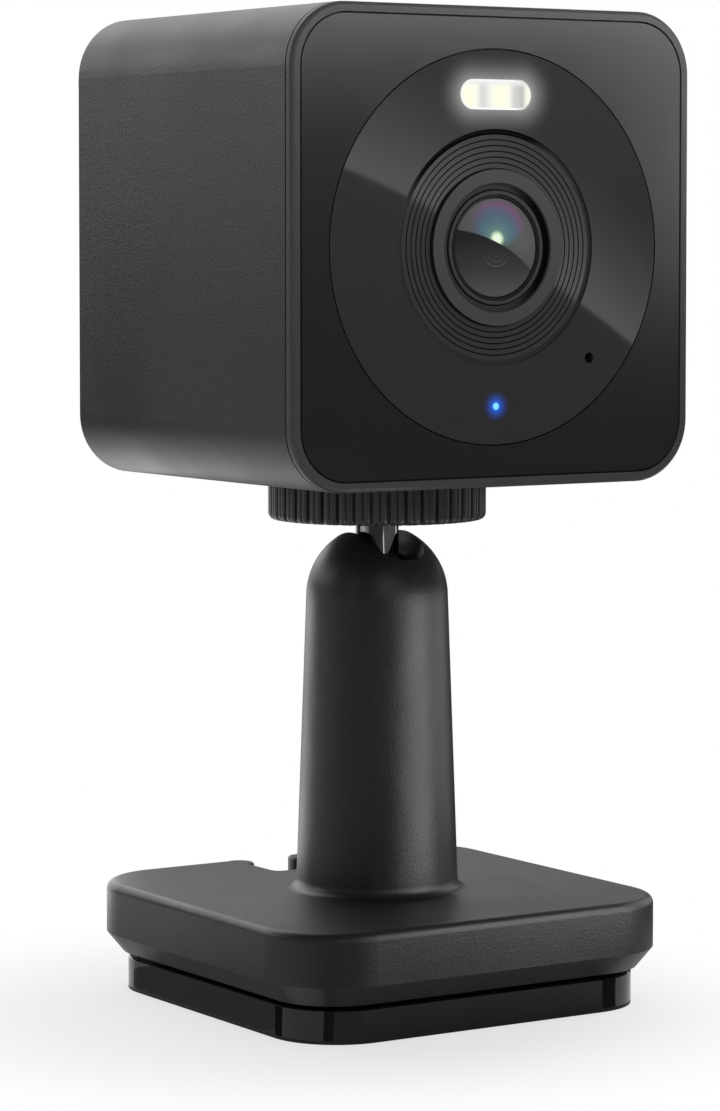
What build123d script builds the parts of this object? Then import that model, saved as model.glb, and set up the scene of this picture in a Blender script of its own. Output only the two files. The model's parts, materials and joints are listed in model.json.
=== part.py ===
from build123d import *

import os
from math import cos, pi, radians, sin, sqrt

# Small security camera: a cube head with a round lens window, on a ball-jointed stand.
# Millimetres. +Z is up, the lens looks along -Y, and the origin is under the stand on the post's axis.

# Fits
SLIP = 0.05
SEAT = 0.1
FLAT_GAP = 0.05

# Mounting plate and foot pad
PAD_INSET = 2.8
PAD_THICKNESS = 1.0
PAD_RECESS = 0.9
PLATE_INSET = 2.1
PLATE_CORNER_R = 8.0
PLATE_THICKNESS = 3.8
PLATE_EDGE = 0.15
PLINTH_INSET = 3.3
PLINTH_HEIGHT = 0.5
WALL_SCREW_SPACING = 30.0
WALL_SCREW_R = 2.15
WALL_SCREW_HEAD_R = 3.8

# Twist lock between plate and stand
HUB_R = 8.6
HUB_WALL = 1.8
LUG_COUNT = 3
LUG_START_DEG = 90.0
LUG_REACH = 2.2
LUG_WIDTH = 5.0
LUG_THICKNESS = 1.2
LUG_PLAY = 0.3
TWIST_DEG = 40.0
LOCK_RUNNING_GAP = 0.3

# Stand base
BASE_SIZE = 50.8
BASE_CORNER_R = 9.0
BASE_HEIGHT = 8.2
BASE_CHAMFER_HEIGHT = 2.3
BASE_CHAMFER_INSET = 1.9
BASE_EDGE_R = 1.0
BASE_LIP = 1.7
BASE_ROOF = 2.1
RIB_THICKNESS = 1.4
RIB_HEIGHT = 2.6
NOTCH_WIDTH = 9.0
NOTCH_SETBACK = 15.0
NOTCH_DEPTH = 5.2
NOTCH_CORNER_R = 1.2
NOTCH_WALL = 1.5
COVER_THICKNESS = 1.0

# Post and ball joint
POST_FOOT_R = 9.35
POST_FOOT_FILLET = 1.2
DOME_R = 8.2
BALL_HEIGHT = 46.5
DOME_TRUNCATION = 7.4
BALL_R = 5.6
BORE_CLEARANCE = 0.3
NECK_R = 2.5
SLOT_HALF = 3.5
SLOT_DEG = 31.0
LINER_THICKNESS = 0.7
LINER_REACH_DEG = 52.0
CUP_FLOOR = 1.6
SPRING_COUNT = 2
SPRING_INNER_R = 2.6
SPRING_CLEARANCE = 0.3
SPRING_THICKNESS = 0.5
SPRING_RISE = 0.5
PLUG_LENGTH = 6.0
PLUG_KEY_R = 2.6
PLUG_KEY_DEPTH = 3.0
PLUG_KEY_SIDES = 6

# Stud, lock wheel and insert
THREAD_R = 3.175
STUD_ENGAGEMENT = 6.5
STUD_TIP_CHAMFER = 0.6
WHEEL_GAP = 8.9
WHEEL_HEIGHT = 4.6
WHEEL_R = 12.57
WHEEL_RIBS = 40
WHEEL_RIB_DEPTH = 0.7
WHEEL_RIB_FOOT_SHARE = 0.78
WHEEL_RIB_CREST_SHARE = 0.45
WHEEL_EDGE = 0.6
NECK_RECESS = 0.4
WASHER_INNER_R = 7.0
WASHER_OUTER_R = 10.4
WASHER_THICKNESS = 0.6
WASHER_PROUD = 0.1
HEAD_RUNNING_GAP = 0.3
INSERT_R = 4.8
INSERT_LENGTH = 7.5
INSERT_BOSS_R = 7.5
INSERT_BOSS_ROOF = 2.0

# Head housing
HEAD_WIDTH = 53.0
HEAD_HEIGHT = 52.8
HEAD_DEPTH = 47.3
HEAD_SETBACK = 24.05
HEAD_CORNER_R = 7.0
HOUSING_WALL = 2.0
HOUSING_REAR_EDGE = 0.5
RIM_DEPTH = 1.1
RIM_WIDTH = 1.1
RIM_EDGE_R = 0.55
PARTING_GROOVE = 0.2
PARTING_GROOVE_DEPTH = 0.6
SKIRT_DEPTH = 3.6
SKIRT_WALL = 1.4
FACE_GROOVE = 0.2
FACE_INSET = 0.05
FACE_THICKNESS = 0.9
FACE_STEP_DEPTH = 2.0
FACE_LEG_SPACING = 35.0
FACE_LEG_SIZE = 3.6
FACE_LEG_SHOULDER = 5.0

# Lens window and what shows through it
WINDOW_R = 21.65
WINDOW_GROOVE = 0.15
WINDOW_THICKNESS = 1.4
LAMP_WIDTH = 9.6
LAMP_HEIGHT = 3.3
LAMP_OFFSET = 16.75
LAMP_FLANGE = 0.4
LAMP_FLANGE_DEPTH = 1.2
LAMP_LED_SIZE = 2.4
LAMP_LED_SPACING = 4.8
STATUS_OFFSET = -17.44
STATUS_R = 0.45
STATUS_BASE_R = 1.2
MIC_X = 12.66
MIC_Z = -12.32
MIC_PORT_R = 0.6
MIC_GASKET_R = 1.8
CHIP_HEIGHT = 1.0

# Lens stack
BEZEL_R = 12.9
BEZEL_FLANGE = 0.7
BEZEL_FLANGE_DEPTH = 1.2
RIDGE_COUNT = 6
RIDGE_PITCH = 0.65
RIDGE_CREST_SHARE = 0.5
RIDGE_DEPTH = 0.35
RING_OUTER_R = 8.72
RING_INNER_R = 7.25
RING_PROUD = 0.35
RING_STEP = 0.25
BARREL_R = 6.3
BARREL_LIP = 0.2
BARREL_LENGTH = 15.5
LENS_R = 5.4
LENS_EDGE_INSET = 0.27
LENS_EDGE_THICKNESS = 1.6
LENS_DOME_R = 18.0
LENS_BACK_R = 14.0
REAR_LENS_R = 4.2
REAR_LENS_THICKNESS = 2.0
REAR_LENS_DOME_R = 9.0
LENS_SPACING = 8.0
MOUNT_TUBE_WALL = 1.6
MOUNT_TUBE_LENGTH = 9.0
MOUNT_BASE_SIZE = 17.0
MOUNT_BASE_HEIGHT = 3.5
MOUNT_CAVITY_SIZE = 12.0
MOUNT_CAVITY_DEPTH = 2.5
APERTURE_R = 3.8
FILTER_SIZE = 9.0
FILTER_THICKNESS = 0.4
SENSOR_WIDTH = 8.6
SENSOR_HEIGHT = 7.4

# Boards
BOARD_THICKNESS = 1.2
SENSOR_BOARD_SETBACK = 19.5
SENSOR_BOARD_WIDTH = 41.0
SENSOR_BOARD_HEIGHT = 24.0
FRONT_BOARD_INSET = 0.35
FRONT_BOARD_INNER_R = 14.6
FRONT_BOARD_GAP = 1.5
MAIN_BOARD_SETBACK = 36.0
MAIN_BOARD_SIZE = 40.0
MAIN_BOARD_CORNER = 4.2
SHIELD_SIZE = 20.0
SHIELD_HEIGHT = 2.2
SHIELD_WALL = 0.6
SHIELD_OFFSET = -4.0
RIBBON_WIDTH = 12.0
RIBBON_THICKNESS = 0.3
RIBBON_OFFSET = 10.0
RIBBON_SOCKET_HEIGHT = 3.0
RIBBON_SOCKET_DEPTH = 1.6
MAIN_POST_SPACING = 35.0
MAIN_POST_SIZE = 3.6
ANTENNA_LENGTH = 30.0
ANTENNA_WIDTH = 9.0
ANTENNA_THICKNESS = 0.3
ANTENNA_SETBACK = 17.0

# Rear cover and its fittings
REAR_COVER_INSET = 0.25
REAR_COVER_THICKNESS = 2.0
REAR_GASKET_THICKNESS = 0.8
REAR_LEDGE_WIDTH = 1.5
REAR_LEDGE_DEPTH = 1.5
GRILLE_HOLE_R = 1.0
GRILLE_PITCH = 3.0
GRILLE_RINGS = 2
GRILLE_SIDES = 6
SPEAKER_OFFSET = 7.5
SPEAKER_R = 10.5
SPEAKER_RIM = 1.4
SPEAKER_RIM_DEPTH = 2.0
SPEAKER_DEPTH = 6.0
SPEAKER_MAGNET_R = 6.5
SPEAKER_CONE_R = 8.4
SPEAKER_CONE_DEPTH = 1.6
SPEAKER_GASKET = 0.6
INLET_OFFSET = -16.5
INLET_WIDTH = 8.9
INLET_HEIGHT = 3.3
INLET_WALL = 0.35
INLET_CLEARANCE = 0.45
INLET_DEPTH = 6.2
INLET_INSET = 0.6
TONGUE_WIDTH = 6.6
TONGUE_HEIGHT = 0.7
TONGUE_INSET = 1.0
CARD_X = 13.0
CARD_OFFSET = -11.0
CARD_SLOT_WIDTH = 1.3
CARD_SLOT_HEIGHT = 11.6
CARD_SLOT_DEPTH = 6.0
CARD_SOCKET_WIDTH = 2.6
CARD_SOCKET_HEIGHT = 13.6
DOOR_WIDTH = 5.6
DOOR_HEIGHT = 15.0
DOOR_THICKNESS = 1.1
DOOR_KNUCKLE_R = 0.75
DOOR_PIN_R = 0.4
DOOR_PIN_BITE = 1.0
DOOR_CLEARANCE = 0.3
DOOR_PULL_R = 1.6
DOOR_PULL_DEPTH = 0.8
BUTTON_X = -13.0
BUTTON_OFFSET = -11.0
BUTTON_R = 2.4
BUTTON_FLANGE_R = 3.2
BUTTON_FLANGE = 0.7
BUTTON_STEM_R = 1.2
BUTTON_PROUD = 0.15
BUTTON_TRAVEL = 0.5
BUTTON_EDGE = 0.3
SWITCH_SIZE = 4.6
SWITCH_HEIGHT = 1.8
PLUNGER_R = 1.0
PLUNGER_HEIGHT = 0.9

# Sizes and levels that follow from the ones above
PLATE_SIZE = BASE_SIZE - 2 * PLATE_INSET
PAD_SIZE = PLATE_SIZE - 2 * PAD_INSET
PAD_CORNER_R = PLATE_CORNER_R - PAD_INSET
PLINTH_SIZE = PLATE_SIZE - 2 * PLINTH_INSET
NOTCH_LENGTH = BASE_SIZE / 2 - NOTCH_SETBACK
POST_BORE_R = BALL_R + BORE_CLEARANCE
SPRING_OUTER_R = POST_BORE_R - SPRING_CLEARANCE
BEZEL_FLANGE_R = BEZEL_R + BEZEL_FLANGE
FRONT_BOARD_R = WINDOW_R - FRONT_BOARD_INSET
PLATE_BOTTOM = PAD_THICKNESS - PAD_RECESS
PLATE_TOP = PLATE_BOTTOM + PLATE_THICKNESS
PLINTH_TOP = PLATE_TOP + PLINTH_HEIGHT
BASE_BOTTOM = PLINTH_TOP + FLAT_GAP
BASE_TOP = BASE_BOTTOM + BASE_HEIGHT
BASE_CHAMFER_TOP = BASE_BOTTOM + BASE_CHAMFER_HEIGHT
BASE_FOOT_SIZE = BASE_SIZE - 2 * BASE_CHAMFER_INSET
BASE_FOOT_CORNER_R = BASE_CORNER_R - BASE_CHAMFER_INSET
BASE_POCKET_SIZE = BASE_FOOT_SIZE - 2 * BASE_LIP
BASE_POCKET_CORNER_R = BASE_FOOT_CORNER_R - BASE_LIP
BASE_ROOF_BOTTOM = BASE_TOP - BASE_ROOF
COVER_TOP = BASE_BOTTOM + COVER_THICKNESS
LUG_BOTTOM = COVER_TOP + LUG_PLAY
HUB_TOP = LUG_BOTTOM + LUG_THICKNESS
LUG_R = HUB_R + LUG_REACH
DOME_TOP = BALL_HEIGHT + DOME_TRUNCATION
SOCKET_R = BALL_R + SLIP
LINER_R = SOCKET_R + LINER_THICKNESS
CUP_SEAT_R = LINER_R + SLIP
CUP_TOP = BALL_HEIGHT - LINER_R * cos(radians(LINER_REACH_DEG))
CUP_BOTTOM = BALL_HEIGHT - CUP_SEAT_R - CUP_FLOOR
SPRING_STEP = SPRING_THICKNESS + SPRING_RISE
PLUG_TOP = CUP_BOTTOM - SPRING_COUNT * SPRING_STEP
WHEEL_BOTTOM = BALL_HEIGHT + WHEEL_GAP
WHEEL_TOP = WHEEL_BOTTOM + WHEEL_HEIGHT
NECK_TOP = WHEEL_BOTTOM + NECK_RECESS
THREAD_BORE_R = THREAD_R + SLIP
HEAD_BOTTOM = WHEEL_TOP + HEAD_RUNNING_GAP
HEAD_CENTRE_Z = HEAD_BOTTOM + HEAD_HEIGHT / 2
STUD_TOP = HEAD_BOTTOM + STUD_ENGAGEMENT
FRONT_Y = -HEAD_SETBACK
REAR_Y = FRONT_Y + HEAD_DEPTH
HOUSING_FRONT_Y = FRONT_Y + RIM_DEPTH + PARTING_GROOVE
SKIRT_INSET = HOUSING_WALL + SEAT
OPENING_INSET = SKIRT_INSET + SKIRT_WALL
FACE_Y = FRONT_Y + FACE_INSET
FACE_LEDGE_Y = FACE_Y + FACE_THICKNESS
FACE_BACK_Y = FACE_LEDGE_Y + FACE_STEP_DEPTH
WINDOW_BACK_Y = FACE_Y + WINDOW_THICKNESS
FRONT_BOARD_Y = FACE_BACK_Y + FRONT_BOARD_GAP
CHIP_FRONT_Y = FRONT_BOARD_Y - CHIP_HEIGHT
BEZEL_BACK_Y = WINDOW_BACK_Y + BEZEL_FLANGE_DEPTH
BEZEL_BORE_R = BARREL_R + SEAT
LENS_EDGE_Y = FRONT_Y + LENS_EDGE_INSET
SENSOR_BOARD_Y = FRONT_Y + SENSOR_BOARD_SETBACK
MAIN_BOARD_Y = FRONT_Y + MAIN_BOARD_SETBACK
MAIN_BOARD_BACK_Y = MAIN_BOARD_Y + BOARD_THICKNESS
COVER_OUT_Y = REAR_Y - REAR_COVER_INSET
COVER_IN_Y = COVER_OUT_Y - REAR_COVER_THICKNESS
REAR_LEDGE_Y = COVER_IN_Y - REAR_GASKET_THICKNESS
DOOR_OUT_Y = COVER_OUT_Y
DOOR_AXIS_X = CARD_X + DOOR_WIDTH / 2
DOOR_AXIS_Y = DOOR_OUT_Y - DOOR_KNUCKLE_R
BUTTON_OUT_Y = COVER_OUT_Y + BUTTON_PROUD
PLUNGER_OUT_Y = MAIN_BOARD_BACK_Y + SWITCH_HEIGHT + BUTTON_TRAVEL + SEAT

os.makedirs("parts", exist_ok=True)


def front_plane(y):
    """Plane at depth y that faces the front, centred on the lens: its x is +X and its y is +Z."""
    return Plane(origin=(0, y, HEAD_CENTRE_Z), x_dir=(1, 0, 0), z_dir=(0, -1, 0))


def rear_plane(y):
    """Plane at depth y whose normal points to the rear: its x is -X and its y is +Z."""
    return Plane(origin=(0, y, HEAD_CENTRE_Z), x_dir=(-1, 0, 0), z_dir=(0, 1, 0))


def head_outline(y, inset):
    """The head's rounded-square outline, drawn in by an inset, on the front-facing plane at depth y."""
    with BuildSketch(front_plane(y)) as outline:
        RectangleRounded(HEAD_WIDTH - 2 * inset, HEAD_HEIGHT - 2 * inset, HEAD_CORNER_R - inset)
    return outline.sketch


def round_bar(plane, radius, length):
    """A straight round bar that grows along the plane's normal."""
    with BuildSketch(plane) as section:
        Circle(radius)
    return extrude(section.sketch, amount=length)


def at(plane, x, y):
    """The same plane with its origin moved by x and y in the plane."""
    return Plane(origin=plane.from_local_coords((x, y, 0)), x_dir=plane.x_dir, z_dir=plane.z_dir)


def finish(piece, name):
    """Name a finished piece and write it to its file."""
    piece.part.label = name
    export_step(piece.part, f"parts/{name}.step")


# Rubber pad under the mounting plate, with clear holes over the wall screws
with BuildPart() as foot_pad:
    with BuildSketch():
        RectangleRounded(PAD_SIZE, PAD_SIZE, PAD_CORNER_R)
        with GridLocations(WALL_SCREW_SPACING, 0, 2, 1):
            Circle(WALL_SCREW_HEAD_R, mode=Mode.SUBTRACT)
    extrude(amount=PAD_THICKNESS)
finish(foot_pad, "foot_pad")


# Glossy plate that stays on the wall or table, with the twist lock's hub and lugs
with BuildPart() as mounting_plate:
    with BuildSketch(Plane.XY.offset(PLATE_BOTTOM)):
        RectangleRounded(PLATE_SIZE, PLATE_SIZE, PLATE_CORNER_R)
    extrude(amount=PLATE_THICKNESS)
    chamfer(mounting_plate.faces().sort_by(Axis.Z)[-1].edges(), PLATE_EDGE)
    with BuildSketch(Plane.XY.offset(PLATE_TOP)):
        RectangleRounded(PLINTH_SIZE, PLINTH_SIZE, PLATE_CORNER_R - PLINTH_INSET)
    extrude(amount=PLINTH_HEIGHT)
    with BuildSketch(Plane.XY.offset(PLATE_BOTTOM)):
        RectangleRounded(PAD_SIZE + 2 * SEAT, PAD_SIZE + 2 * SEAT, PAD_CORNER_R + SEAT)
    extrude(amount=PAD_RECESS, mode=Mode.SUBTRACT)
    with BuildSketch(Plane.XY.offset(PLINTH_TOP)):
        Circle(HUB_R)
    extrude(amount=HUB_TOP - PLINTH_TOP)
    with BuildSketch(Plane.XY.offset(LUG_BOTTOM)):
        with PolarLocations(HUB_R, LUG_COUNT, start_angle=LUG_START_DEG):
            Rectangle(2 * LUG_REACH, LUG_WIDTH)
        Circle(LUG_R, mode=Mode.INTERSECT)
    extrude(amount=LUG_THICKNESS)
    with BuildSketch(Plane.XY.offset(PLATE_TOP)):
        Circle(HUB_R - HUB_WALL)
    extrude(amount=HUB_TOP - PLATE_TOP, mode=Mode.SUBTRACT)
    with Locations((0, 0, PLINTH_TOP)):
        with GridLocations(WALL_SCREW_SPACING, 0, 2, 1):
            CounterSinkHole(WALL_SCREW_R, WALL_SCREW_HEAD_R)
finish(mounting_plate, "mounting_plate")


# Directions, in the plane of tilt, to which the neck can lean in the dome's front and rear slots
def tilt_plane(angle_deg):
    """Plane at the ball's centre whose normal leans forward from +Z by the angle."""
    lean = radians(angle_deg)
    return Plane(origin=(0, 0, BALL_HEIGHT), x_dir=(1, 0, 0), z_dir=(0, -sin(lean), cos(lean)))


def slot_sector(angle_deg):
    """The fan from the ball's centre, seen from the side, that the neck sweeps as it leans by the angle."""
    lean = radians(angle_deg)
    reach = 2 * DOME_R
    with BuildSketch(Plane.YZ) as fan:
        with BuildLine():
            Polyline(
                (0, BALL_HEIGHT),
                (0, BALL_HEIGHT + reach),
                (-reach * sin(lean), BALL_HEIGHT + reach * cos(lean)),
                (0, BALL_HEIGHT),
                close=True,
            )
        make_face()
    return fan.sketch


# Base, hollow post and slotted dome, moulded as one piece
with BuildPart() as stand_body:
    with BuildSketch(Plane.XY.offset(BASE_BOTTOM)):
        RectangleRounded(BASE_FOOT_SIZE, BASE_FOOT_SIZE, BASE_FOOT_CORNER_R)
    with BuildSketch(Plane.XY.offset(BASE_CHAMFER_TOP)):
        RectangleRounded(BASE_SIZE, BASE_SIZE, BASE_CORNER_R)
    loft(ruled=True)
    with BuildSketch(Plane.XY.offset(BASE_CHAMFER_TOP)):
        RectangleRounded(BASE_SIZE, BASE_SIZE, BASE_CORNER_R)
    extrude(amount=BASE_TOP - BASE_CHAMFER_TOP)
    fillet(stand_body.faces().sort_by(Axis.Z)[-1].edges(), BASE_EDGE_R)
    with BuildSketch(Plane.XY.offset(BASE_BOTTOM)):
        RectangleRounded(BASE_POCKET_SIZE, BASE_POCKET_SIZE, BASE_POCKET_CORNER_R)
    extrude(amount=BASE_ROOF_BOTTOM - BASE_BOTTOM, mode=Mode.SUBTRACT)
    # Ribs under the roof, down to the base cover's lugs
    with BuildSketch(Plane.XY.offset(BASE_ROOF_BOTTOM)):
        Rectangle(BASE_POCKET_SIZE, RIB_THICKNESS)
        Rectangle(RIB_THICKNESS, BASE_POCKET_SIZE)
        Circle(POST_FOOT_R)
    extrude(amount=-RIB_HEIGHT)
    # Post with a hollow-rounded foot and a domed top
    with BuildSketch(Plane.XZ):
        with BuildLine():
            foot_r = POST_FOOT_R + POST_FOOT_FILLET
            foot = Line((0, BASE_ROOF_BOTTOM), (foot_r, BASE_ROOF_BOTTOM))
            skirting = Line(foot @ 1, (foot_r, BASE_TOP))
            flare = RadiusArc(skirting @ 1, (POST_FOOT_R, BASE_TOP + POST_FOOT_FILLET), POST_FOOT_FILLET)
            shaft = Line(flare @ 1, (DOME_R, BALL_HEIGHT))
            crown_r = sqrt(DOME_R**2 - DOME_TRUNCATION**2)
            crown = RadiusArc(shaft @ 1, (crown_r, DOME_TOP), -DOME_R)
            rim = Line(crown @ 1, (0, DOME_TOP))
            Line(rim @ 1, foot @ 0)
        make_face()
    revolve(axis=Axis.Z)
    # Cable notch in the rear edge, with its own walls
    with BuildSketch(Plane.XY.offset(BASE_TOP)):
        with Locations((0, NOTCH_SETBACK - NOTCH_WALL)):
            Rectangle(
                NOTCH_WIDTH + 2 * NOTCH_WALL,
                NOTCH_LENGTH + NOTCH_WALL - BASE_LIP,
                align=(Align.CENTER, Align.MIN),
            )
    extrude(amount=-NOTCH_DEPTH - NOTCH_WALL)
    with BuildSketch(Plane.XY.offset(BASE_TOP)):
        with Locations((0, BASE_SIZE / 2)):
            RectangleRounded(NOTCH_WIDTH, 2 * NOTCH_LENGTH, NOTCH_CORNER_R)
    extrude(amount=-NOTCH_DEPTH, mode=Mode.SUBTRACT)
    # Bore for the ball and what presses on it, and the round seat over the ball
    with BuildSketch(Plane.XY.offset(BASE_BOTTOM)):
        Circle(POST_BORE_R)
    extrude(amount=BALL_HEIGHT - BASE_BOTTOM, mode=Mode.SUBTRACT)
    with Locations((0, 0, BALL_HEIGHT)):
        Sphere(SOCKET_R, mode=Mode.SUBTRACT)
    # Slots in the dome for the neck, in front and behind, with round ends
    for lean_deg in (SLOT_DEG, -SLOT_DEG):
        extrude(slot_sector(lean_deg), amount=SLOT_HALF, both=True, mode=Mode.SUBTRACT)
        add(round_bar(tilt_plane(lean_deg), SLOT_HALF, 2 * DOME_R), mode=Mode.SUBTRACT)
    add(round_bar(tilt_plane(0), SLOT_HALF, 2 * DOME_R), mode=Mode.SUBTRACT)
finish(stand_body, "stand_body")


# Cover under the stand's base, with the twist lock's keyed opening
with BuildPart() as base_cover:
    key_play = 2 * LOCK_RUNNING_GAP
    with BuildSketch(Plane.XY.offset(BASE_BOTTOM)):
        RectangleRounded(BASE_POCKET_SIZE - 2 * SEAT, BASE_POCKET_SIZE - 2 * SEAT, BASE_POCKET_CORNER_R)
        Circle(HUB_R + LOCK_RUNNING_GAP, mode=Mode.SUBTRACT)
        with PolarLocations(HUB_R, LUG_COUNT, start_angle=LUG_START_DEG - TWIST_DEG):
            Rectangle(2 * LUG_REACH + key_play, LUG_WIDTH + key_play, mode=Mode.SUBTRACT)
    extrude(amount=COVER_THICKNESS)
finish(base_cover, "base_cover")


# Steel ball, neck and threaded stud, turned from one bar
with BuildPart() as ball_stud:
    with Locations((0, 0, BALL_HEIGHT)):
        Sphere(BALL_R)
    with BuildSketch(Plane.XY.offset(BALL_HEIGHT)):
        Circle(NECK_R)
    extrude(amount=NECK_TOP - BALL_HEIGHT)
    with BuildSketch(Plane.XY.offset(NECK_TOP)):
        Circle(THREAD_R)
    extrude(amount=STUD_TOP - NECK_TOP)
    chamfer(ball_stud.edges().sort_by(Axis.Z)[-1], STUD_TIP_CHAMFER)
finish(ball_stud, "ball_stud")


# Thin nylon liner that cradles the ball from below
with BuildPart() as ball_liner:
    with BuildSketch(Plane.XZ):
        with BuildLine():
            reach = radians(LINER_REACH_DEG)
            inner_rim = (SOCKET_R * sin(reach), BALL_HEIGHT - SOCKET_R * cos(reach))
            outer_rim = (LINER_R * sin(reach), BALL_HEIGHT - LINER_R * cos(reach))
            inside = RadiusArc((0, BALL_HEIGHT - SOCKET_R), inner_rim, -SOCKET_R)
            edge = Line(inside @ 1, outer_rim)
            outside = RadiusArc(edge @ 1, (0, BALL_HEIGHT - LINER_R), LINER_R)
            Line(outside @ 1, inside @ 0)
        make_face()
    revolve(axis=Axis.Z)
finish(ball_liner, "ball_liner")


# Cup that presses the liner and the ball up into the dome
with BuildPart() as pressure_cup:
    with BuildSketch(Plane.XY.offset(CUP_BOTTOM)):
        Circle(POST_BORE_R - SEAT)
    extrude(amount=CUP_TOP - CUP_BOTTOM)
    with Locations((0, 0, BALL_HEIGHT)):
        Sphere(CUP_SEAT_R, mode=Mode.SUBTRACT)
finish(pressure_cup, "pressure_cup")


# Stack of coned disc springs under the cup, set mouth to mouth
with BuildPart() as disc_springs:
    for index in range(SPRING_COUNT):
        floor_z = PLUG_TOP + index * SPRING_STEP
        rise_in, rise_out = (SPRING_RISE, 0) if index % 2 == 0 else (0, SPRING_RISE)
        with BuildSketch(Plane.XZ):
            with BuildLine():
                Polyline(
                    (SPRING_INNER_R, floor_z + rise_in),
                    (SPRING_OUTER_R, floor_z + rise_out),
                    (SPRING_OUTER_R, floor_z + rise_out + SPRING_THICKNESS),
                    (SPRING_INNER_R, floor_z + rise_in + SPRING_THICKNESS),
                    close=True,
                )
            make_face()
        revolve(axis=Axis.Z)
finish(disc_springs, "disc_springs")


# Plug that closes the bore and loads the springs
with BuildPart() as post_plug:
    with BuildSketch(Plane.XY.offset(PLUG_TOP - PLUG_LENGTH)):
        Circle(POST_BORE_R - SLIP)
    extrude(amount=PLUG_LENGTH)
    with BuildSketch(Plane.XY.offset(PLUG_TOP - PLUG_LENGTH)):
        RegularPolygon(PLUG_KEY_R, PLUG_KEY_SIDES)
    extrude(amount=PLUG_KEY_DEPTH, mode=Mode.SUBTRACT)
finish(post_plug, "post_plug")


def wheel_outline(z, inset):
    """The wheel's ribbed outline at height z, drawn in by an inset."""
    root_r = WHEEL_R - WHEEL_RIB_DEPTH - inset
    crest_r = WHEEL_R - inset
    foot_half = WHEEL_RIB_FOOT_SHARE * pi / WHEEL_RIBS
    crest_half = WHEEL_RIB_CREST_SHARE * pi / WHEEL_RIBS
    points = []
    for index in range(WHEEL_RIBS):
        middle = 2 * pi * index / WHEEL_RIBS
        for radius, turn in (
            (root_r, middle - foot_half),
            (crest_r, middle - crest_half),
            (crest_r, middle + crest_half),
            (root_r, middle + foot_half),
        ):
            points.append((radius * cos(turn), radius * sin(turn)))
    with BuildSketch(Plane.XY.offset(z)) as outline:
        with BuildLine():
            Polyline(*points, close=True)
        make_face()
    return outline.sketch


# Ribbed wheel that locks the head on the stud, with a bevelled lower edge
with BuildPart() as lock_wheel:
    extrude(wheel_outline(WHEEL_BOTTOM + WHEEL_EDGE, 0), amount=WHEEL_HEIGHT - WHEEL_EDGE)
    lower_outline = wheel_outline(WHEEL_BOTTOM, WHEEL_EDGE).face()
    upper_outline = wheel_outline(WHEEL_BOTTOM + WHEEL_EDGE, 0).face()
    loft([lower_outline, upper_outline], ruled=True)
    with BuildSketch(Plane.XY.offset(WHEEL_TOP)):
        Circle(WASHER_OUTER_R + SEAT)
        Circle(WASHER_INNER_R - SEAT, mode=Mode.SUBTRACT)
    extrude(amount=WASHER_PROUD - WASHER_THICKNESS, mode=Mode.SUBTRACT)
    with BuildSketch(Plane.XY.offset(WHEEL_BOTTOM)):
        Circle(THREAD_BORE_R)
    extrude(amount=WHEEL_HEIGHT, mode=Mode.SUBTRACT)
finish(lock_wheel, "lock_wheel")


# Rubber washer let into the top of the wheel
with BuildPart() as friction_washer:
    with BuildSketch(Plane.XY.offset(WHEEL_TOP + WASHER_PROUD)):
        Circle(WASHER_OUTER_R)
        Circle(WASHER_INNER_R, mode=Mode.SUBTRACT)
    extrude(amount=-WASHER_THICKNESS)
finish(friction_washer, "friction_washer")


# Brass insert for the stud in the floor of the head
with BuildPart() as tripod_insert:
    with BuildSketch(Plane.XY.offset(HEAD_BOTTOM)):
        Circle(INSERT_R)
        Circle(THREAD_BORE_R, mode=Mode.SUBTRACT)
    extrude(amount=INSERT_LENGTH)
finish(tripod_insert, "tripod_insert")


# Square sleeve of the head, with the insert's boss and the rear ledge
with BuildPart() as housing_shell:
    extrude(head_outline(HOUSING_FRONT_Y, 0), amount=HOUSING_FRONT_Y - REAR_Y)
    chamfer(housing_shell.faces().sort_by(Axis.Y)[-1].outer_wire().edges(), HOUSING_REAR_EDGE)
    extrude(head_outline(HOUSING_FRONT_Y, HOUSING_WALL), amount=HOUSING_FRONT_Y - REAR_Y, mode=Mode.SUBTRACT)
    # Ledge for the rear gasket
    extrude(head_outline(REAR_LEDGE_Y, HOUSING_WALL), amount=REAR_LEDGE_DEPTH)
    extrude(
        head_outline(REAR_LEDGE_Y, HOUSING_WALL + REAR_LEDGE_WIDTH),
        amount=REAR_LEDGE_DEPTH,
        mode=Mode.SUBTRACT,
    )
    # Boss over the insert
    with BuildSketch(Plane.XY.offset(HEAD_BOTTOM + HOUSING_WALL / 2)):
        Circle(INSERT_BOSS_R)
    extrude(amount=INSERT_LENGTH + INSERT_BOSS_ROOF - HOUSING_WALL / 2)
    with BuildSketch(Plane.XY.offset(HEAD_BOTTOM)):
        Circle(INSERT_R + SLIP)
    extrude(amount=INSERT_LENGTH, mode=Mode.SUBTRACT)
finish(housing_shell, "housing_shell")


# Rim round the front, with a skirt that plugs into the sleeve
with BuildPart() as front_rim:
    extrude(head_outline(FRONT_Y, 0), amount=-RIM_DEPTH)
    fillet(front_rim.faces().sort_by(Axis.Y)[0].edges(), RIM_EDGE_R)
    extrude(head_outline(FRONT_Y + RIM_DEPTH, PARTING_GROOVE_DEPTH), amount=-PARTING_GROOVE)
    extrude(head_outline(HOUSING_FRONT_Y, SKIRT_INSET), amount=-SKIRT_DEPTH)
    extrude(head_outline(FRONT_Y, RIM_WIDTH), amount=FRONT_Y - FACE_LEDGE_Y, mode=Mode.SUBTRACT)
    extrude(
        head_outline(FACE_LEDGE_Y, OPENING_INSET),
        amount=FACE_LEDGE_Y - HOUSING_FRONT_Y - SKIRT_DEPTH,
        mode=Mode.SUBTRACT,
    )
finish(front_rim, "front_rim")


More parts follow.
